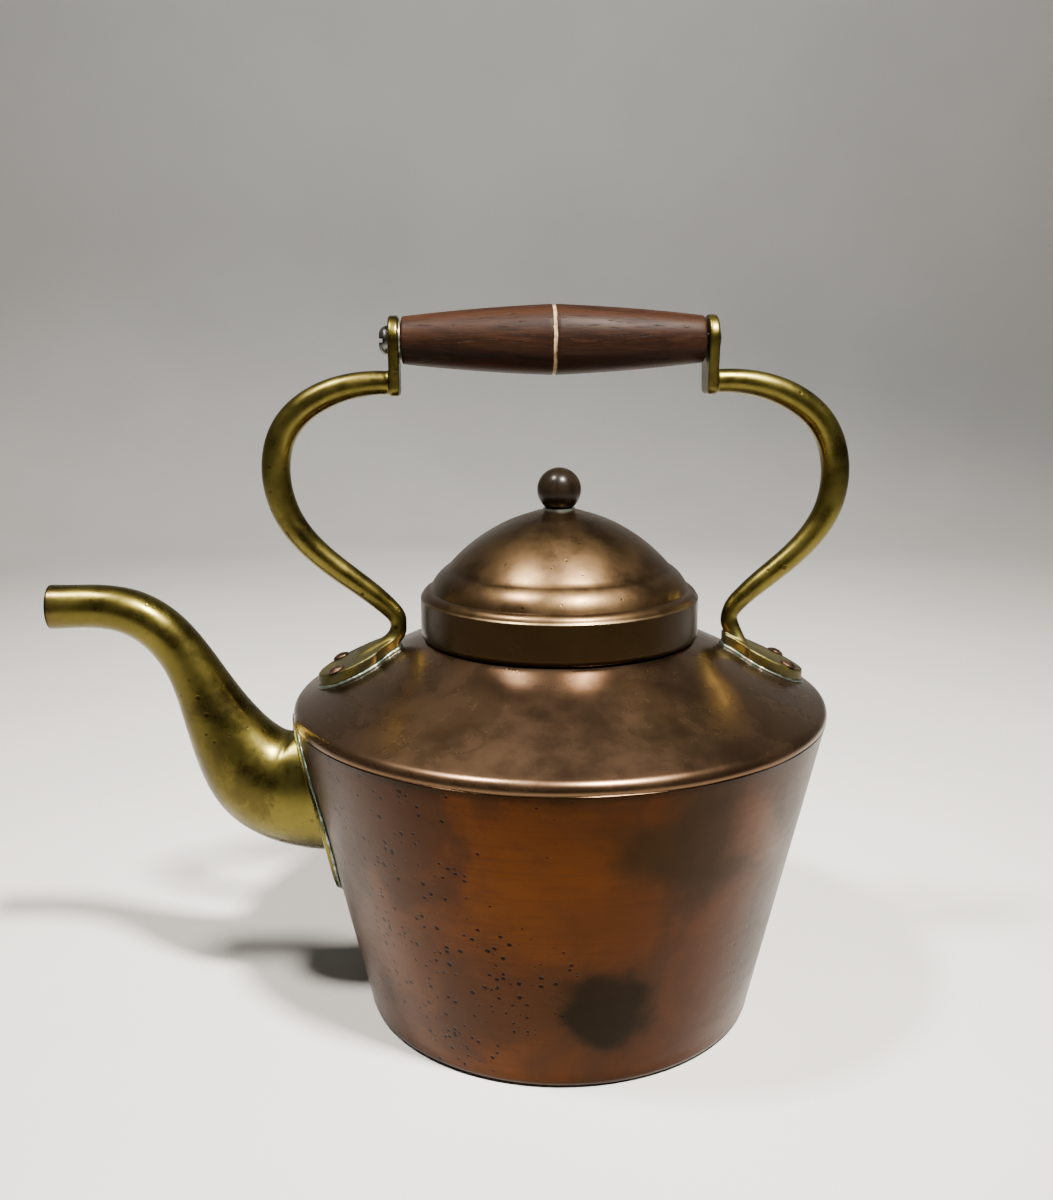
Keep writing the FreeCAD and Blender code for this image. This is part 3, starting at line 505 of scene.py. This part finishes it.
def copper_shoulder():
    f = Finish("shoulder_copper", 1.0)
    unrolled = f.around()
    z = f.split()[2]
    broad = f.fade(f.noise(13, 5, 0.55, 0.5), 0.36, 0.66)
    colour = f.mix(broad, (0.335, 0.205, 0.148), (0.262, 0.158, 0.118))
    small = f.fade(f.noise(120, 5, 0.65), 0.52, 0.72)
    colour = f.mix(f.math("MULTIPLY", small, 0.35), colour, (0.225, 0.142, 0.098))
    rings = f.noise(1.0, 3, 0.5, source=f.stretch((10, 1, 1400), source=unrolled))
    colour = f.mix(f.math("MULTIPLY", f.fade(rings, 0.5, 0.8), 0.22), colour, (0.40, 0.26, 0.19))
    # Dried drop marks: thin irregular outlines.
    edge = f.blob((-0.0330, -0.0690, 0.1155), 0.0052, 0.0006, 0.0042, 130, squash=(0.8, 0.8, 1.0))
    core = f.blob((-0.0330, -0.0690, 0.1155), 0.0044, 0.0006, 0.0042, 130, squash=(0.8, 0.8, 1.0))
    mark = f.math("SUBTRACT", edge, core, clamp=True)
    colour = f.mix(f.math("MULTIPLY", mark, 0.45), colour, (0.150, 0.105, 0.060))
    second = f.blob((0.0260, -0.0690, 0.1165), 0.0060, 0.0012, 0.010, 150, squash=(0.55, 0.8, 1.6))
    colour = f.mix(f.math("MULTIPLY", second, 0.35), colour, (0.200, 0.145, 0.088))
    # Long shallow scratches and a few nicks.
    lines = f.noise(1.0, 2, 0.4, 0.6, source=f.stretch((22, 1, 620), (0.4, 0, 0.3), unrolled))
    where = f.fade(f.noise(22, 3, 0.5, shift=(0.9, 0.2, 0.1)), 0.56, 0.66)
    scratch = f.math("MULTIPLY", f.fade(lines, 0.715, 0.75), where)
    colour = f.mix(f.math("MULTIPLY", scratch, 0.7), colour, (0.14, 0.09, 0.06))
    spots, chance = f.cells(130, source=unrolled)
    nick = f.math("MULTIPLY", f.fade(spots, 0.03, 0.085, 1.0, 0.0), f.fade(chance, 0.80, 0.86))
    colour = f.mix(f.math("MULTIPLY", nick, 0.85), colour, (0.075, 0.050, 0.036))
    # The rounded edge turns dark just above the seam: painted shade, the dark band on the corner's lower side
    # below its highlight.
    colour = f.mix(f.fade(z, 0.1072, 0.1050, 0.0, 0.75), colour, (0.155, 0.090, 0.060))
    rough = f.fade(f.noise(45, 5, 0.6), 0.3, 0.7, 0.22, 0.31)
    f.emboss(f.noise(26, 3, 0.5), 0.3, 0.0005)
    f.emboss(rings, 0.08, 0.00005)
    f.emboss(f.math("MULTIPLY", f.math("ADD", nick, scratch), -1.0), 0.4, 0.0001)
    return f.done(colour, rough, tone=SHOULDER_TONE)


def copper_lid():
    f = Finish("lid_copper", 1.0)
    z = f.split()[2]
    colour = f.mix(f.fade(f.noise(30, 6, 0.6, 0.5), 0.36, 0.64), (0.400, 0.255, 0.165), (0.290, 0.185, 0.112))
    patches, tone = f.cells(95, source=f.stretch((1, 1, 1), (0.01, 0.02, 0.03)))
    bloom = f.math("MULTIPLY", f.fade(patches, 0.18, 0.34, 1.0, 0.0), f.fade(tone, 0.72, 0.78))
    colour = f.mix(f.math("MULTIPLY", bloom, 0.35), colour, (0.42, 0.30, 0.16))
    mottle = f.fade(f.noise(75, 6, 0.68, 0.6, shift=(0.5, 0.1, 0.3)), 0.50, 0.62)
    colour = f.mix(f.math("MULTIPLY", mottle, 0.45), colour, (0.250, 0.175, 0.090))
    shine = f.fade(f.noise(110, 5, 0.6, shift=(0.1, 0.6, 0.2)), 0.56, 0.70)
    colour = f.mix(f.math("MULTIPLY", shine, 0.4), colour, (0.50, 0.32, 0.22))
    fleck, few = f.cells(420)
    dark = f.math("MULTIPLY", f.fade(fleck, 0.08, 0.24, 1.0, 0.0), f.fade(few, 0.90, 0.94))
    colour = f.mix(f.math("MULTIPLY", dark, 0.8), colour, (0.075, 0.048, 0.030))
    # Painted shade: the upright skirt below the sharp rim is darkened, standing in for the dark surroundings
    # it mirrors.
    skirt = f.fade(z, 0.1437, 0.1429)
    colour = f.mix(f.math("MULTIPLY", skirt, 0.85), colour, (0.105, 0.062, 0.030))
    # Painted highlight: a thin bright line along the sharp rim edge.
    edge = f.math("MULTIPLY", f.fade(z, 0.1428, 0.1431), f.fade(z, 0.1438, 0.1434))
    colour = f.mix(f.math("MULTIPLY", edge, 0.7), colour, (0.70, 0.52, 0.36))
    # Painted shade in the crease between the dome and the bead.
    crease_shade = f.math("MULTIPLY", f.fade(z, 0.1515, 0.1528), f.fade(z, 0.1546, 0.1533))
    colour = f.mix(f.math("MULTIPLY", crease_shade, 0.5), colour, (0.18, 0.11, 0.065))
    rough = f.fade(f.noise(60, 5, 0.6), 0.3, 0.7, 0.26, 0.40)
    f.emboss(f.noise(48, 3, 0.5), 0.3, 0.0005)
    f.emboss(f.noise(240, 3, 0.6), 0.16, 0.00012)
    f.emboss(f.math("MULTIPLY", dark, -1.0), 0.4, 0.0001)
    return f.done(colour, rough, tone=LID_TONE)


def brass(name, dark_share, green=None):
    f = Finish(name, 1.0)
    colour = f.mix(f.fade(f.noise(28, 6, 0.6, 0.5), 0.36, 0.66), (0.470, 0.355, 0.105), (0.335, 0.248, 0.072))
    tarnish = f.fade(f.noise(52, 6, 0.65, 0.6, shift=(0.7, 0.3, 0.2)), 0.50, 0.66)
    colour = f.mix(f.math("MULTIPLY", tarnish, dark_share), colour, (0.185, 0.130, 0.050))
    streak = f.noise(260, 4, 0.6)
    colour = f.mix(f.math("MULTIPLY", f.fade(streak, 0.55, 0.75), 0.35), colour, (0.20, 0.145, 0.055))
    spots, chance = f.cells(380)
    area = f.fade(f.noise(36, 4, 0.6, shift=(0.2, 0.8, 0.4)), 0.42, 0.60)
    size = f.fade(chance, 0.60, 1.0, 0.0, 0.36)
    pit = f.math("MULTIPLY", f.fade(f.math("SUBTRACT", spots, size), -0.10, 0.02, 1.0, 0.0), area)
    pit = f.math("MULTIPLY", pit, f.fade(size, 0.02, 0.1))
    colour = f.mix(f.math("MULTIPLY", pit, 0.75), colour, (0.080, 0.055, 0.022))
    rough = f.fade(f.noise(90, 5, 0.6), 0.3, 0.7, 0.24, 0.38)
    if green is not None:
        colour, rough = green(f, colour, rough)
    f.emboss(f.noise(60, 3, 0.5), 0.35, 0.0005)
    f.emboss(streak, 0.2, 0.00012)
    f.emboss(f.math("MULTIPLY", pit, -1.0), 0.5, 0.00015)
    return f.done(colour, rough, tone=BRASS_TONE)


def spout_brass():
    def age(f, colour, rough):
        x, _, z = f.split()[:3]
        tip = f.math("MULTIPLY", f.fade(x, -0.1500, -0.1690), f.fade(f.noise(50, 4, 0.6), 0.35, 0.62))
        colour = f.mix(f.math("MULTIPLY", tip, 0.8), colour, (0.245, 0.135, 0.080))
        mouth = f.fade(x, -0.1686, -0.1694)
        colour = f.mix(mouth, colour, (0.06, 0.045, 0.02))
        crust = f.fade(f.noise(130, 6, 0.7), 0.40, 0.60)
        joint = f.math("MULTIPLY", f.fade(x, -0.0965, -0.0890), f.fade(z, 0.070, 0.098))
        share = f.math("MULTIPLY", joint, crust)
        colour = f.mix(f.math("MULTIPLY", share, 0.8), colour, (0.115, 0.140, 0.070))
        return colour, f.math("ADD", rough, f.math("MULTIPLY", share, 0.25))

    return brass("spout_brass", 0.75, age)


def flange_brass():
    def age(f, colour, rough):
        crust = f.fade(f.noise(120, 6, 0.7, shift=(0.3, 0.3, 0.3)), 0.44, 0.60)
        z = f.split()[2]
        share = f.math("MULTIPLY", crust, f.fade(z, 0.060, 0.100, 0.25, 1.0))
        colour = f.mix(f.math("MULTIPLY", share, 0.85), colour, (0.100, 0.130, 0.075))
        return colour, f.math("ADD", rough, f.math("MULTIPLY", share, 0.25))

    return brass("flange_brass", 0.9, age)


def arm_brass():
    def age(f, colour, rough):
        z = f.split()[2]
        low = f.fade(z, 0.1330, 0.1270)
        crust = f.fade(f.noise(150, 6, 0.7), 0.36, 0.62)
        share = f.math("MULTIPLY", low, crust)
        colour = f.mix(f.math("MULTIPLY", share, 0.85), colour, (0.205, 0.180, 0.125))
        return colour, f.math("ADD", rough, f.math("MULTIPLY", low, 0.16))

    return brass("arm_brass", 0.6, age)


def solder_metal():
    f = Finish("solder", 1.0)
    crust = f.fade(f.noise(320, 5, 0.7, 0.5), 0.42, 0.62)
    colour = f.mix(crust, (0.20, 0.22, 0.19), (0.06, 0.09, 0.07))
    dark = f.fade(f.noise(190, 5, 0.7, shift=(0.4, 0.1, 0.9)), 0.58, 0.70)
    colour = f.mix(f.math("MULTIPLY", dark, 0.8), colour, (0.06, 0.07, 0.055))
    f.emboss(f.noise(700, 4, 0.6), 0.5, 0.0002)
    return f.done(colour, f.fade(crust, 0.0, 1.0, 0.30, 0.62))


def rivet_copper():
    f = Finish("rivet_copper", 1.0)
    colour = f.mix(f.fade(f.noise(300, 5, 0.6), 0.4, 0.62), (0.115, 0.065, 0.042), (0.055, 0.032, 0.022))
    f.emboss(f.noise(420, 4, 0.6), 0.5, 0.0003)
    return f.done(colour, f.fade(f.noise(200, 3, 0.5), 0.3, 0.7, 0.34, 0.52))


def steel():
    f = Finish("dark_steel", 1.0)
    colour = f.mix(f.fade(f.noise(350, 5, 0.6), 0.42, 0.66), (0.12, 0.115, 0.11), (0.045, 0.04, 0.035))
    f.emboss(f.noise(600, 4, 0.6), 0.4, 0.0002)
    return f.done(colour, f.fade(f.noise(240, 3, 0.5), 0.3, 0.7, 0.20, 0.38))


def washer_metal():
    f = Finish("washer_metal", 1.0)
    crust = f.fade(f.noise(380, 5, 0.7), 0.44, 0.60)
    colour = f.mix(crust, (0.34, 0.36, 0.33), (0.16, 0.20, 0.18))
    f.emboss(f.noise(700, 4, 0.6), 0.4, 0.0002)
    return f.done(colour, f.fade(crust, 0.0, 1.0, 0.32, 0.55))


def grip_wood(groove_x):
    f = Finish("grip_wood", 0.0, 0.06)
    x = f.split()[0]
    along = f.stretch((14, 190, 190), source=f.place)
    bands = f.noise(1.0, 5, 0.6, 0.8, source=along)
    colour = f.mix(f.fade(bands, 0.35, 0.65), (0.115, 0.058, 0.036), (0.048, 0.024, 0.016))
    fine = f.noise(1.0, 5, 0.7, source=f.stretch((60, 900, 900), source=f.place))
    colour = f.mix(f.math("MULTIPLY", f.fade(fine, 0.48, 0.70), 0.55), colour, (0.165, 0.092, 0.060))
    pores = f.noise(1.0, 3, 0.5, source=f.stretch((130, 1500, 1500), (0.2, 0.7, 0.4), f.place))
    pore = f.fade(pores, 0.64, 0.70)
    colour = f.mix(f.math("MULTIPLY", pore, 0.8), colour, (0.018, 0.010, 0.007))
    wander = f.math("MULTIPLY", f.math("SUBTRACT", f.noise(420, 5, 0.7), 0.5), 0.0009)
    offset = f.math("ABSOLUTE", f.math("ADD", f.math("SUBTRACT", x, groove_x), wander))
    groove = f.fade(offset, 0.00035, 0.00065, 1.0, 0.0)
    pale = f.mix(f.fade(f.noise(500, 4, 0.6), 0.4, 0.65), (0.36, 0.27, 0.16), (0.20, 0.13, 0.075))
    colour = f.mix(groove, f.mix(1.0, colour, GRIP_TONE, "MULTIPLY"), pale)
    f.emboss(fine, 0.25, 0.0002)
    f.emboss(f.math("MULTIPLY", pore, -1.0), 0.45, 0.0002)
    rough = f.math("ADD", f.fade(bands, 0.3, 0.7, 0.42, 0.52), f.math("MULTIPLY", groove, 0.25))
    return f.done(colour, rough)


def knob_wood():
    f = Finish("knob_wood", 0.0, 0.10)
    fine = f.noise(1.0, 5, 0.6, source=f.stretch((420, 420, 60), source=f.place))
    colour = f.mix(f.fade(fine, 0.40, 0.66), (0.052, 0.034, 0.025), (0.026, 0.017, 0.013))
    worn = f.fade(f.noise(180, 5, 0.6), 0.52, 0.70)
    colour = f.mix(f.math("MULTIPLY", worn, 0.4), colour, (0.085, 0.062, 0.046))
    f.emboss(f.noise(420, 4, 0.6), 0.2, 0.0002)
    return f.done(colour, f.fade(worn, 0.0, 1.0, 0.30, 0.44), coat=0.04, coat_rough=0.12, tone=KNOB_TONE)


def stage_floor():
    f = Finish("stage_floor", 0.0, 0.25)
    colour = f.mix(f.fade(f.noise(6, 3, 0.5), 0.3, 0.7), (0.50, 0.49, 0.465), (0.53, 0.52, 0.495))
    return f.done(colour, 0.85)


def use(piece, material):
    piece.data.materials.clear()
    piece.data.materials.append(material)


# --- Pieces ---------------------------------------------------------------------------------------


def body_pieces():
    """Cup and shoulder as spun sheet with soft dents."""
    made = {}
    seam_out = wall_radius(SEAM)
    skew = METAL / math.cos(math.atan(FLARE))
    made["lower_body"] = lathe("cup", rounded([
        (0, 0.35, 0),
        (BASE_RADIUS - 7, 0.35, 2),
        (BASE_RADIUS - 5, 0, 1),
        (BASE_RADIUS, 0, FOOT_ROUND),
        (seam_out, SEAM, 0),
        (seam_out - skew, SEAM, 0),
        (wall_radius(METAL) - skew, METAL, FOOT_ROUND - METAL),
        (0, METAL, 0),
    ]), 220)
    dent(made["lower_body"], 0.35, 34, 3.1, lambda p: p.z < 0.004)
    inner_level = cone_height(wall_radius(0) - skew) - METAL / math.cos(math.atan(SLOPE))
    inner_z = inner_level / (1 + SLOPE * FLARE)
    made["shoulder"] = lathe("shoulder_cone", rounded([
        (seam_out, SEAM, 0),
        (wall_radius(CORNER), CORNER, CORNER_ROUND),
        (NECK_RADIUS, cone_height(NECK_RADIUS), 0.3),
        (NECK_RADIUS, cone_height(NECK_RADIUS) - METAL / math.cos(math.atan(SLOPE)), 0),
        (wall_radius(inner_z) - skew, inner_z, CORNER_ROUND - METAL),
        (seam_out - skew, SEAM, 0),
    ]), 220)
    dent(made["shoulder"], 0.30, 30, 7.7)
    return made


def lid_piece():
    """Spun lid: dome, bead, quarter round, sharp rim and skirt, walked round its section."""
    top, seat = 171.9, 5.4
    path = []
    path += arc_points((37.5, 153.0), (seat, top), 3.15, 26)
    path += [Vector((seat, top)), Vector((0, top))]
    path += [Vector((0, top - 1)), Vector((seat, top - 1))]
    path += arc_points((seat, top - 1), (36.5, 152.4), -3.15, 26)[1:]
    path += arc_points((36.5, 152.4), (42.5, 145.3), -0.8, 8)
    path += [Vector((42.5, 145.3)), Vector((45.8, 142.5)), Vector((45.8, 138)), Vector((45.8, 134))]
    path += [Vector((45.8, 130.4)), Vector((46.0, 130.2)), Vector((46.6, 130.2)), Vector((46.8, 130.4))]
    path += [Vector((46.8, z)) for z in (132, 134, 136, 138, 140, 141.6, 142.8)]
    path += [Vector((46.8, 143.02)), Vector((46.72, 143.22)), Vector((46.5, 143.36))]
    path += arc_points((46.5, 143.36), (43.5, 145.9), 0.6, 8)[1:]
    path += arc_points((43.5, 145.9), (37.5, 153.0), 0.8, 12)
    piece = lathe("lid_dome", path, 200, 50)
    dent(piece, 0.22, 22, 1.3, lambda p: p.z > 0.1712 or p.z < 0.1435)
    return piece


def spout_piece():
    """Gooseneck swept along its route, trimmed to the flange, hollow, with a soft lip."""
    run = [(-x, z, half) for x, z, half in SPOUT_STATIONS]
    start_slope, end_slope = np.array([-1.0, 0.0, 0.05]), np.array([-1.0, 0.0, 0.0])
    at, length = spline(run, (start_slope, end_slope))
    sides, rings = 72, 110
    angles = [2 * math.pi * k / sides for k in range(sides)]
    half_start = SPOUT_STATIONS[0][2]

    def spot(travel, angle, inset):
        (x, z, half), (dx, dz, _) = at(travel)
        size = math.hypot(dx, dz)
        dx, dz = dx / size, dz / size
        width = half * (1 - SPOUT_FLATTENING * (half - MOUTH_RADIUS) / (half_start - MOUTH_RADIUS))
        tall, wide = (half - inset) * math.cos(angle), (width - inset) * math.sin(angle)
        return Vector((x + dz * tall, wide, z - dx * tall))

    rise = FLANGE_LIFT / math.cos(math.atan(FLARE)) - SPOUT_SINK

    def trim(angle, inset):
        low, high = 0.0, length * 0.5
        for _ in range(40):
            middle = (low + high) / 2
            p = spot(middle, angle, inset)
            inside = math.hypot(p.x, p.y) < wall_radius(p.z) + rise
            low, high = (middle, high) if inside else (low, middle)
        return high

    straight = [2.0, 4.5, 7.0, 9.5, 11.2, 11.75]
    layers = []
    starts = [trim(angle, 0.0) for angle in angles]
    inner_starts = [trim(angle, SPOUT_WALL) for angle in angles]

    def ring(begins, share, inset):
        pairs = zip(begins, angles)
        return [spot(begin + (length - begin) * share, angle, inset) for begin, angle in pairs]

    for r in range(rings + 1):
        share = r / rings
        layers.append(ring(starts, share, 0.0))

    def circle(x, radius):
        points = []
        for angle in angles:
            points.append(Vector((x, radius * math.sin(angle), MOUTH_Z + radius * math.cos(angle))))
        return points

    begin = MOUTH_X + MOUTH_LENGTH
    for s in straight:
        layers.append(circle(begin - s, MOUTH_RADIUS))
    layers.append(circle(MOUTH_X + 0.07, MOUTH_RADIUS - 0.07))
    layers.append(circle(MOUTH_X, MOUTH_RADIUS - 0.28))
    inner = MOUTH_RADIUS - SPOUT_WALL
    layers.append(circle(MOUTH_X, inner + 0.25))
    layers.append(circle(MOUTH_X + 0.25, inner))
    for s in reversed(straight[:-1]):
        layers.append(circle(begin - s, inner))
    for r in range(rings, -1, -2):
        share = r / rings
        layers.append(ring(inner_starts, share, SPOUT_WALL))
    vertices = [p for layer in layers for p in layer]
    faces = []
    count = len(layers)
    for i in range(count):
        j = (i + 1) % count
        for k in range(sides):
            m = (k + 1) % sides
            faces.append((i * sides + k, i * sides + m, j * sides + m, j * sides + k))
    piece = make_object("gooseneck", vertices, faces, 50)
    dent(piece, 0.22, 17, 5.5, lambda p: p.x < (MOUTH_X + 4) * MM)
    return piece


def flange_bead():
    """Wavy solder line round the leaf of the spout."""
    half_height = (FLANGE_HIGH - FLANGE_LOW) / 2
    radius = (half_height ** 2 + FLANGE_HALF ** 2) / (2 * FLANGE_HALF)
    middle = (FLANGE_HIGH + FLANGE_LOW) / 2
    path, radii = [], []
    count = 150
    for side in (1, -1):
        for k in range(count):
            share = k / count * 2 - 1
            z = middle + side * share * half_height
            y = side * (math.sqrt(radius ** 2 - (z - middle) ** 2) - (radius - FLANGE_HALF))
            wave = noise.noise(Vector((y * 0.22, z * 0.22, 4.0)))
            fine = noise.noise(Vector((y * 0.8, z * 0.8, 9.0)))
            y *= 1 + 0.012 * wave
            wall = wall_radius(z) + 0.25
            path.append(Vector((-math.sqrt(max(wall ** 2 - y ** 2, 0)), y, z)))
            radii.append(0.48 + 0.26 * wave + 0.14 * fine)
    return tube("flange_solder_line", path, radii)


def leaf_path(side):
    """Plan of a handle leaf, walked round once."""
    joint, neck, narrow = 62.5, 55.5, 3.4
    wide = math.sqrt(LEAF_RADIUS ** 2 - (LEAF_CENTRE - joint) ** 2)
    start = math.atan2(wide, joint - LEAF_CENTRE)
    plan = []
    for k in range(110):
        angle = start - 2 * start * k / 109
        plan.append((LEAF_CENTRE + LEAF_RADIUS * math.cos(angle), LEAF_RADIUS * math.sin(angle)))
    for k in range(1, 14):
        t = k / 14
        plan.append((joint + (neck - joint) * t, -(wide + (narrow - wide) * t) + 1.0 * math.sin(math.pi * t)))
    for k in range(10):
        plan.append((neck, -narrow + 2 * narrow * k / 9))
    for k in range(1, 14):
        t = 1 - k / 14
        plan.append((joint + (neck - joint) * t, (wide + (narrow - wide) * t) - 1.0 * math.sin(math.pi * t)))
    return [(side * x + FOOT_SHIFT, y) for x, y in plan]


def leaf_bead(name, side, seed):
    """Uneven solder that oozes from under a handle leaf."""
    path, radii = [], []
    for x, y in leaf_path(side):
        wave = noise.noise(Vector((x * 0.2, y * 0.2, seed)))
        fine = noise.noise(Vector((x * 0.7, y * 0.7, seed + 3)))
        grow = 1 + 0.01 * wave
        centre = side * LEAF_CENTRE + FOOT_SHIFT
        x, y = centre + (x - centre) * grow, y * grow
        path.append(Vector((x, y, cone_height(math.hypot(x, y)) + 0.15)))
        radii.append(0.55 + 0.32 * wave + 0.16 * fine)
    return tube(name, path, radii)


def rivet_piece(name, node, seed):
    """Hammered rivet: an uneven low dome over the CAD rivet's place."""
    piece = melted(name, node, 0.16, 2)
    shade(piece, 80)
    dent(piece, 0.22, 1.7, seed)
    return piece


def grip_piece(start, length):
    """Turned barrel along X with a groove and rounded ends."""
    end, swell, crown = 7.65, 11.3, 0.45
    bore, sleeve, sleeve_length = 2.56, 3.46, 12
    middle = length / 2
    rounding = [(0.9, 0), (0.5, 0.08), (0.12, 0.4), (0, 0.9)]
    groove = [(0.02, 0.66), (0.55, 0.2), (0.7, 0), (0.55, -0.2), (0.02, -0.66)]
    inside = [(bore, 0), (bore, length - sleeve_length), (sleeve, length - sleeve_length)]
    outline = [Vector(point) for point in inside + [(sleeve, length)]]
    outline += [Vector((end - depth, length - back)) for depth, back in rounding]
    outline += arc_points((end, length - 0.9), (swell, middle + 0.7), -crown, 40)[1:]
    outline += [Vector((swell - depth, middle + offset)) for depth, offset in groove]
    outline += arc_points((swell, middle - 0.7), (end, 0.9), -crown, 40)
    outline += [Vector((end - depth, back)) for depth, back in reversed(rounding)]
    piece = lathe("turned_grip", outline, 128, 55)
    turn = Matrix(((0, 0, 1, start * MM), (0, 1, 0, 0), (-1, 0, 0, GRIP_Z * MM), (0, 0, 0, 1)))
    piece.data.transform(turn)
    piece.data.update()
    return piece


def knob_piece(low):
    radius, foot, drop = 7.35, 4.5, 6.1
    outline = [Vector((0, 0)), Vector((foot - 0.3, 0))]
    reach = ((radius - foot) ** 2 + drop ** 2) / (2 * (radius - foot))
    bulge = reach - math.sqrt(reach ** 2 - ((radius - foot) ** 2 + drop ** 2) / 4)
    outline += arc_points((foot, 0.15), (radius, drop), bulge, 16)
    top = radius * (1 - math.sqrt(0.5))
    outline += arc_points((radius, drop), (0, drop + radius), top, 30)
    outline += [Vector((0, drop + radius))]
    piece = lathe("turned_knob", outline, 96, 70)
    piece.data.transform(Matrix.Translation((0, 0, low)))
    piece.data.update()
    return piece


def build():
    mats = {
        "copper_body": copper_body(),
        "copper_shoulder": copper_shoulder(),
        "copper_lid": copper_lid(),
        "copper_rivet": rivet_copper(),
        "brass_spout": spout_brass(),
        "brass_flange": flange_brass(),
        "brass_arm": arm_brass(),
        "solder": solder_metal(),
        "washer_metal": washer_metal(),
        "steel": steel(),
        "knob": knob_wood(),
    }
    grip_low, grip_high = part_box("grip")
    groove_x = (grip_low.x + grip_high.x) / 2
    mats["grip_wood"] = grip_wood(groove_x)

    def settle(piece, nodes, slot, body):
        nodes = (nodes,) if isinstance(nodes, str) else nodes
        use(piece, mats[slot])
        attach(piece, body)
        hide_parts(*nodes)

    for node, piece in body_pieces().items():
        settle(piece, node, {"lower_body": "copper_body", "shoulder": "copper_shoulder"}[node], "root")
    settle(lid_piece(), "lid_shell", "copper_lid", "lid")
    settle(knob_piece(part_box("lid_knob")[0].z), "lid_knob", "knob", "lid")
    settle(spout_piece(), ("spout_bowl", "spout_shank", "spout_tube"), "brass_spout", "root")
    settle(melted("soft_flange", "spout_flange", 0.3, 2), "spout_flange", "brass_flange", "root")
    settle(flange_bead(), "spout_solder", "solder", "root")
    settle(melted("cast_front_arm", "front_arm", 0.4, 5), "front_arm", "brass_arm", "root")
    settle(melted("cast_rear_arm", "rear_arm", 0.4, 5), "rear_arm", "brass_arm", "root")
    settle(leaf_bead("front_solder_line", -1, 2.0), "front_foot_solder", "solder", "root")
    settle(leaf_bead("rear_solder_line", 1, 6.0), "rear_foot_solder", "solder", "root")
    start = grip_low.x / MM
    settle(grip_piece(start, (grip_high.x - grip_low.x) / MM), "grip", "grip_wood", "grip")
    for seed, node in enumerate(("front_near_rivet", "front_far_rivet", "rear_near_rivet", "rear_far_rivet")):
        settle(rivet_piece("hammered_" + node, node, 1.5 + seed), node, "copper_rivet", "root")
    kept = {
        "neck_collar": "copper_shoulder",
        "knob_washer": "washer_metal",
        "knob_screw": "steel",
        "grip_washer": "washer_metal",
        "grip_rod": "steel",
        "grip_nut": "steel",
    }
    for node, slot in kept.items():
        use(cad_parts[node], mats[slot])


# --- Stage, lights and camera ---------------------------------------------------------------------


def stage():
    """Pale floor that sweeps up into a round wall."""
    flat, rise, height, sides = 0.95, 0.35, 1.2, 96
    profile = [(0.0, 0.0), (0.3, 0.0), (flat, 0.0)]
    for k in range(1, 13):
        angle = math.pi / 2 * k / 12
        profile.append((flat + rise * math.sin(angle), rise * (1 - math.cos(angle))))
    profile.append((flat + rise, height))
    vertices, faces = [(0.0, 0.0, 0.0)], []
    for radius, z in profile[1:]:
        for k in range(sides):
            angle = 2 * math.pi * k / sides
            vertices.append((radius * math.cos(angle), radius * math.sin(angle), z))
    for k in range(sides):
        faces.append((0, 1 + k, 1 + (k + 1) % sides))
    for ring in range(len(profile) - 2):
        for k in range(sides):
            a, b = 1 + ring * sides + k, 1 + ring * sides + (k + 1) % sides
            faces.append((a, a + sides, b + sides, b))
    mesh = bpy.data.meshes.new("stage_floor")
    mesh.from_pydata(vertices, [], faces)
    mesh.polygons.foreach_set("use_smooth", [True] * len(mesh.polygons))
    floor = bpy.data.objects.new("stage_floor", mesh)
    bpy.context.scene.collection.objects.link(floor)
    use(floor, stage_floor())


def area_light(name, place, target, size, power, colour, spread):
    light = bpy.data.lights.new(name, "AREA")
    light.shape = "DISK"
    light.size = size
    light.energy = power
    light.color = colour
    light.spread = math.radians(spread)
    lamp = bpy.data.objects.new(name, light)
    lamp.location = place
    aim = Vector(target) - Vector(place)
    lamp.rotation_euler = aim.to_track_quat("-Z", "Y").to_euler()
    bpy.context.scene.collection.objects.link(lamp)


def lights():
    world = bpy.data.worlds.new("room")
    bpy.context.scene.world = world
    world.use_nodes = True
    world.node_tree.nodes["Background"].inputs["Color"].default_value = (0.86, 0.88, 0.90, 1)
    world.node_tree.nodes["Background"].inputs["Strength"].default_value = 0.12
    centre = (0, 0.05, 0.05)
    warm = (1.0, 0.94, 0.87)
    area_light("key", (0.29, -0.56, 1.25), centre, 0.16, 14.5, warm, 70)
    area_light("left_fill", (-0.48, -0.23, 1.23), centre, 0.18, 5.0, warm, 70)
    area_light("backdrop_wash", (0.0, 0.35, 1.10), (0.0, 1.25, 0.35), 0.6, 3.6, (0.96, 0.98, 1.0), 120)


def camera():
    """Camera at the height and angle of the picture, with its long side upright."""
    heading, pitch, roll = math.radians(2.943), math.radians(12.35), math.radians(-0.261)
    place = Vector((-0.03192, -0.40560, 0.22996))
    level = math.cos(pitch)
    forward = Vector((math.sin(heading) * level, math.cos(heading) * level, -math.sin(pitch)))
    right = forward.cross(Vector((0, 0, 1))).normalized()
    up = right.cross(forward)
    turned_right = right * math.cos(roll) + up * math.sin(roll)
    turned_up = up * math.cos(roll) - right * math.sin(roll)
    data = bpy.data.cameras.new("camera")
    data.sensor_fit = "VERTICAL"
    data.sensor_height = 36.0
    data.lens = 36.765
    data.clip_start = 0.01
    eye = bpy.data.objects.new("camera", data)
    axes = Matrix((turned_right, turned_up, -forward)).transposed()
    eye.matrix_world = Matrix.Translation(place) @ axes.to_4x4()
    bpy.context.scene.collection.objects.link(eye)
    bpy.context.scene.camera = eye


camera()
build()
stage()
lights()
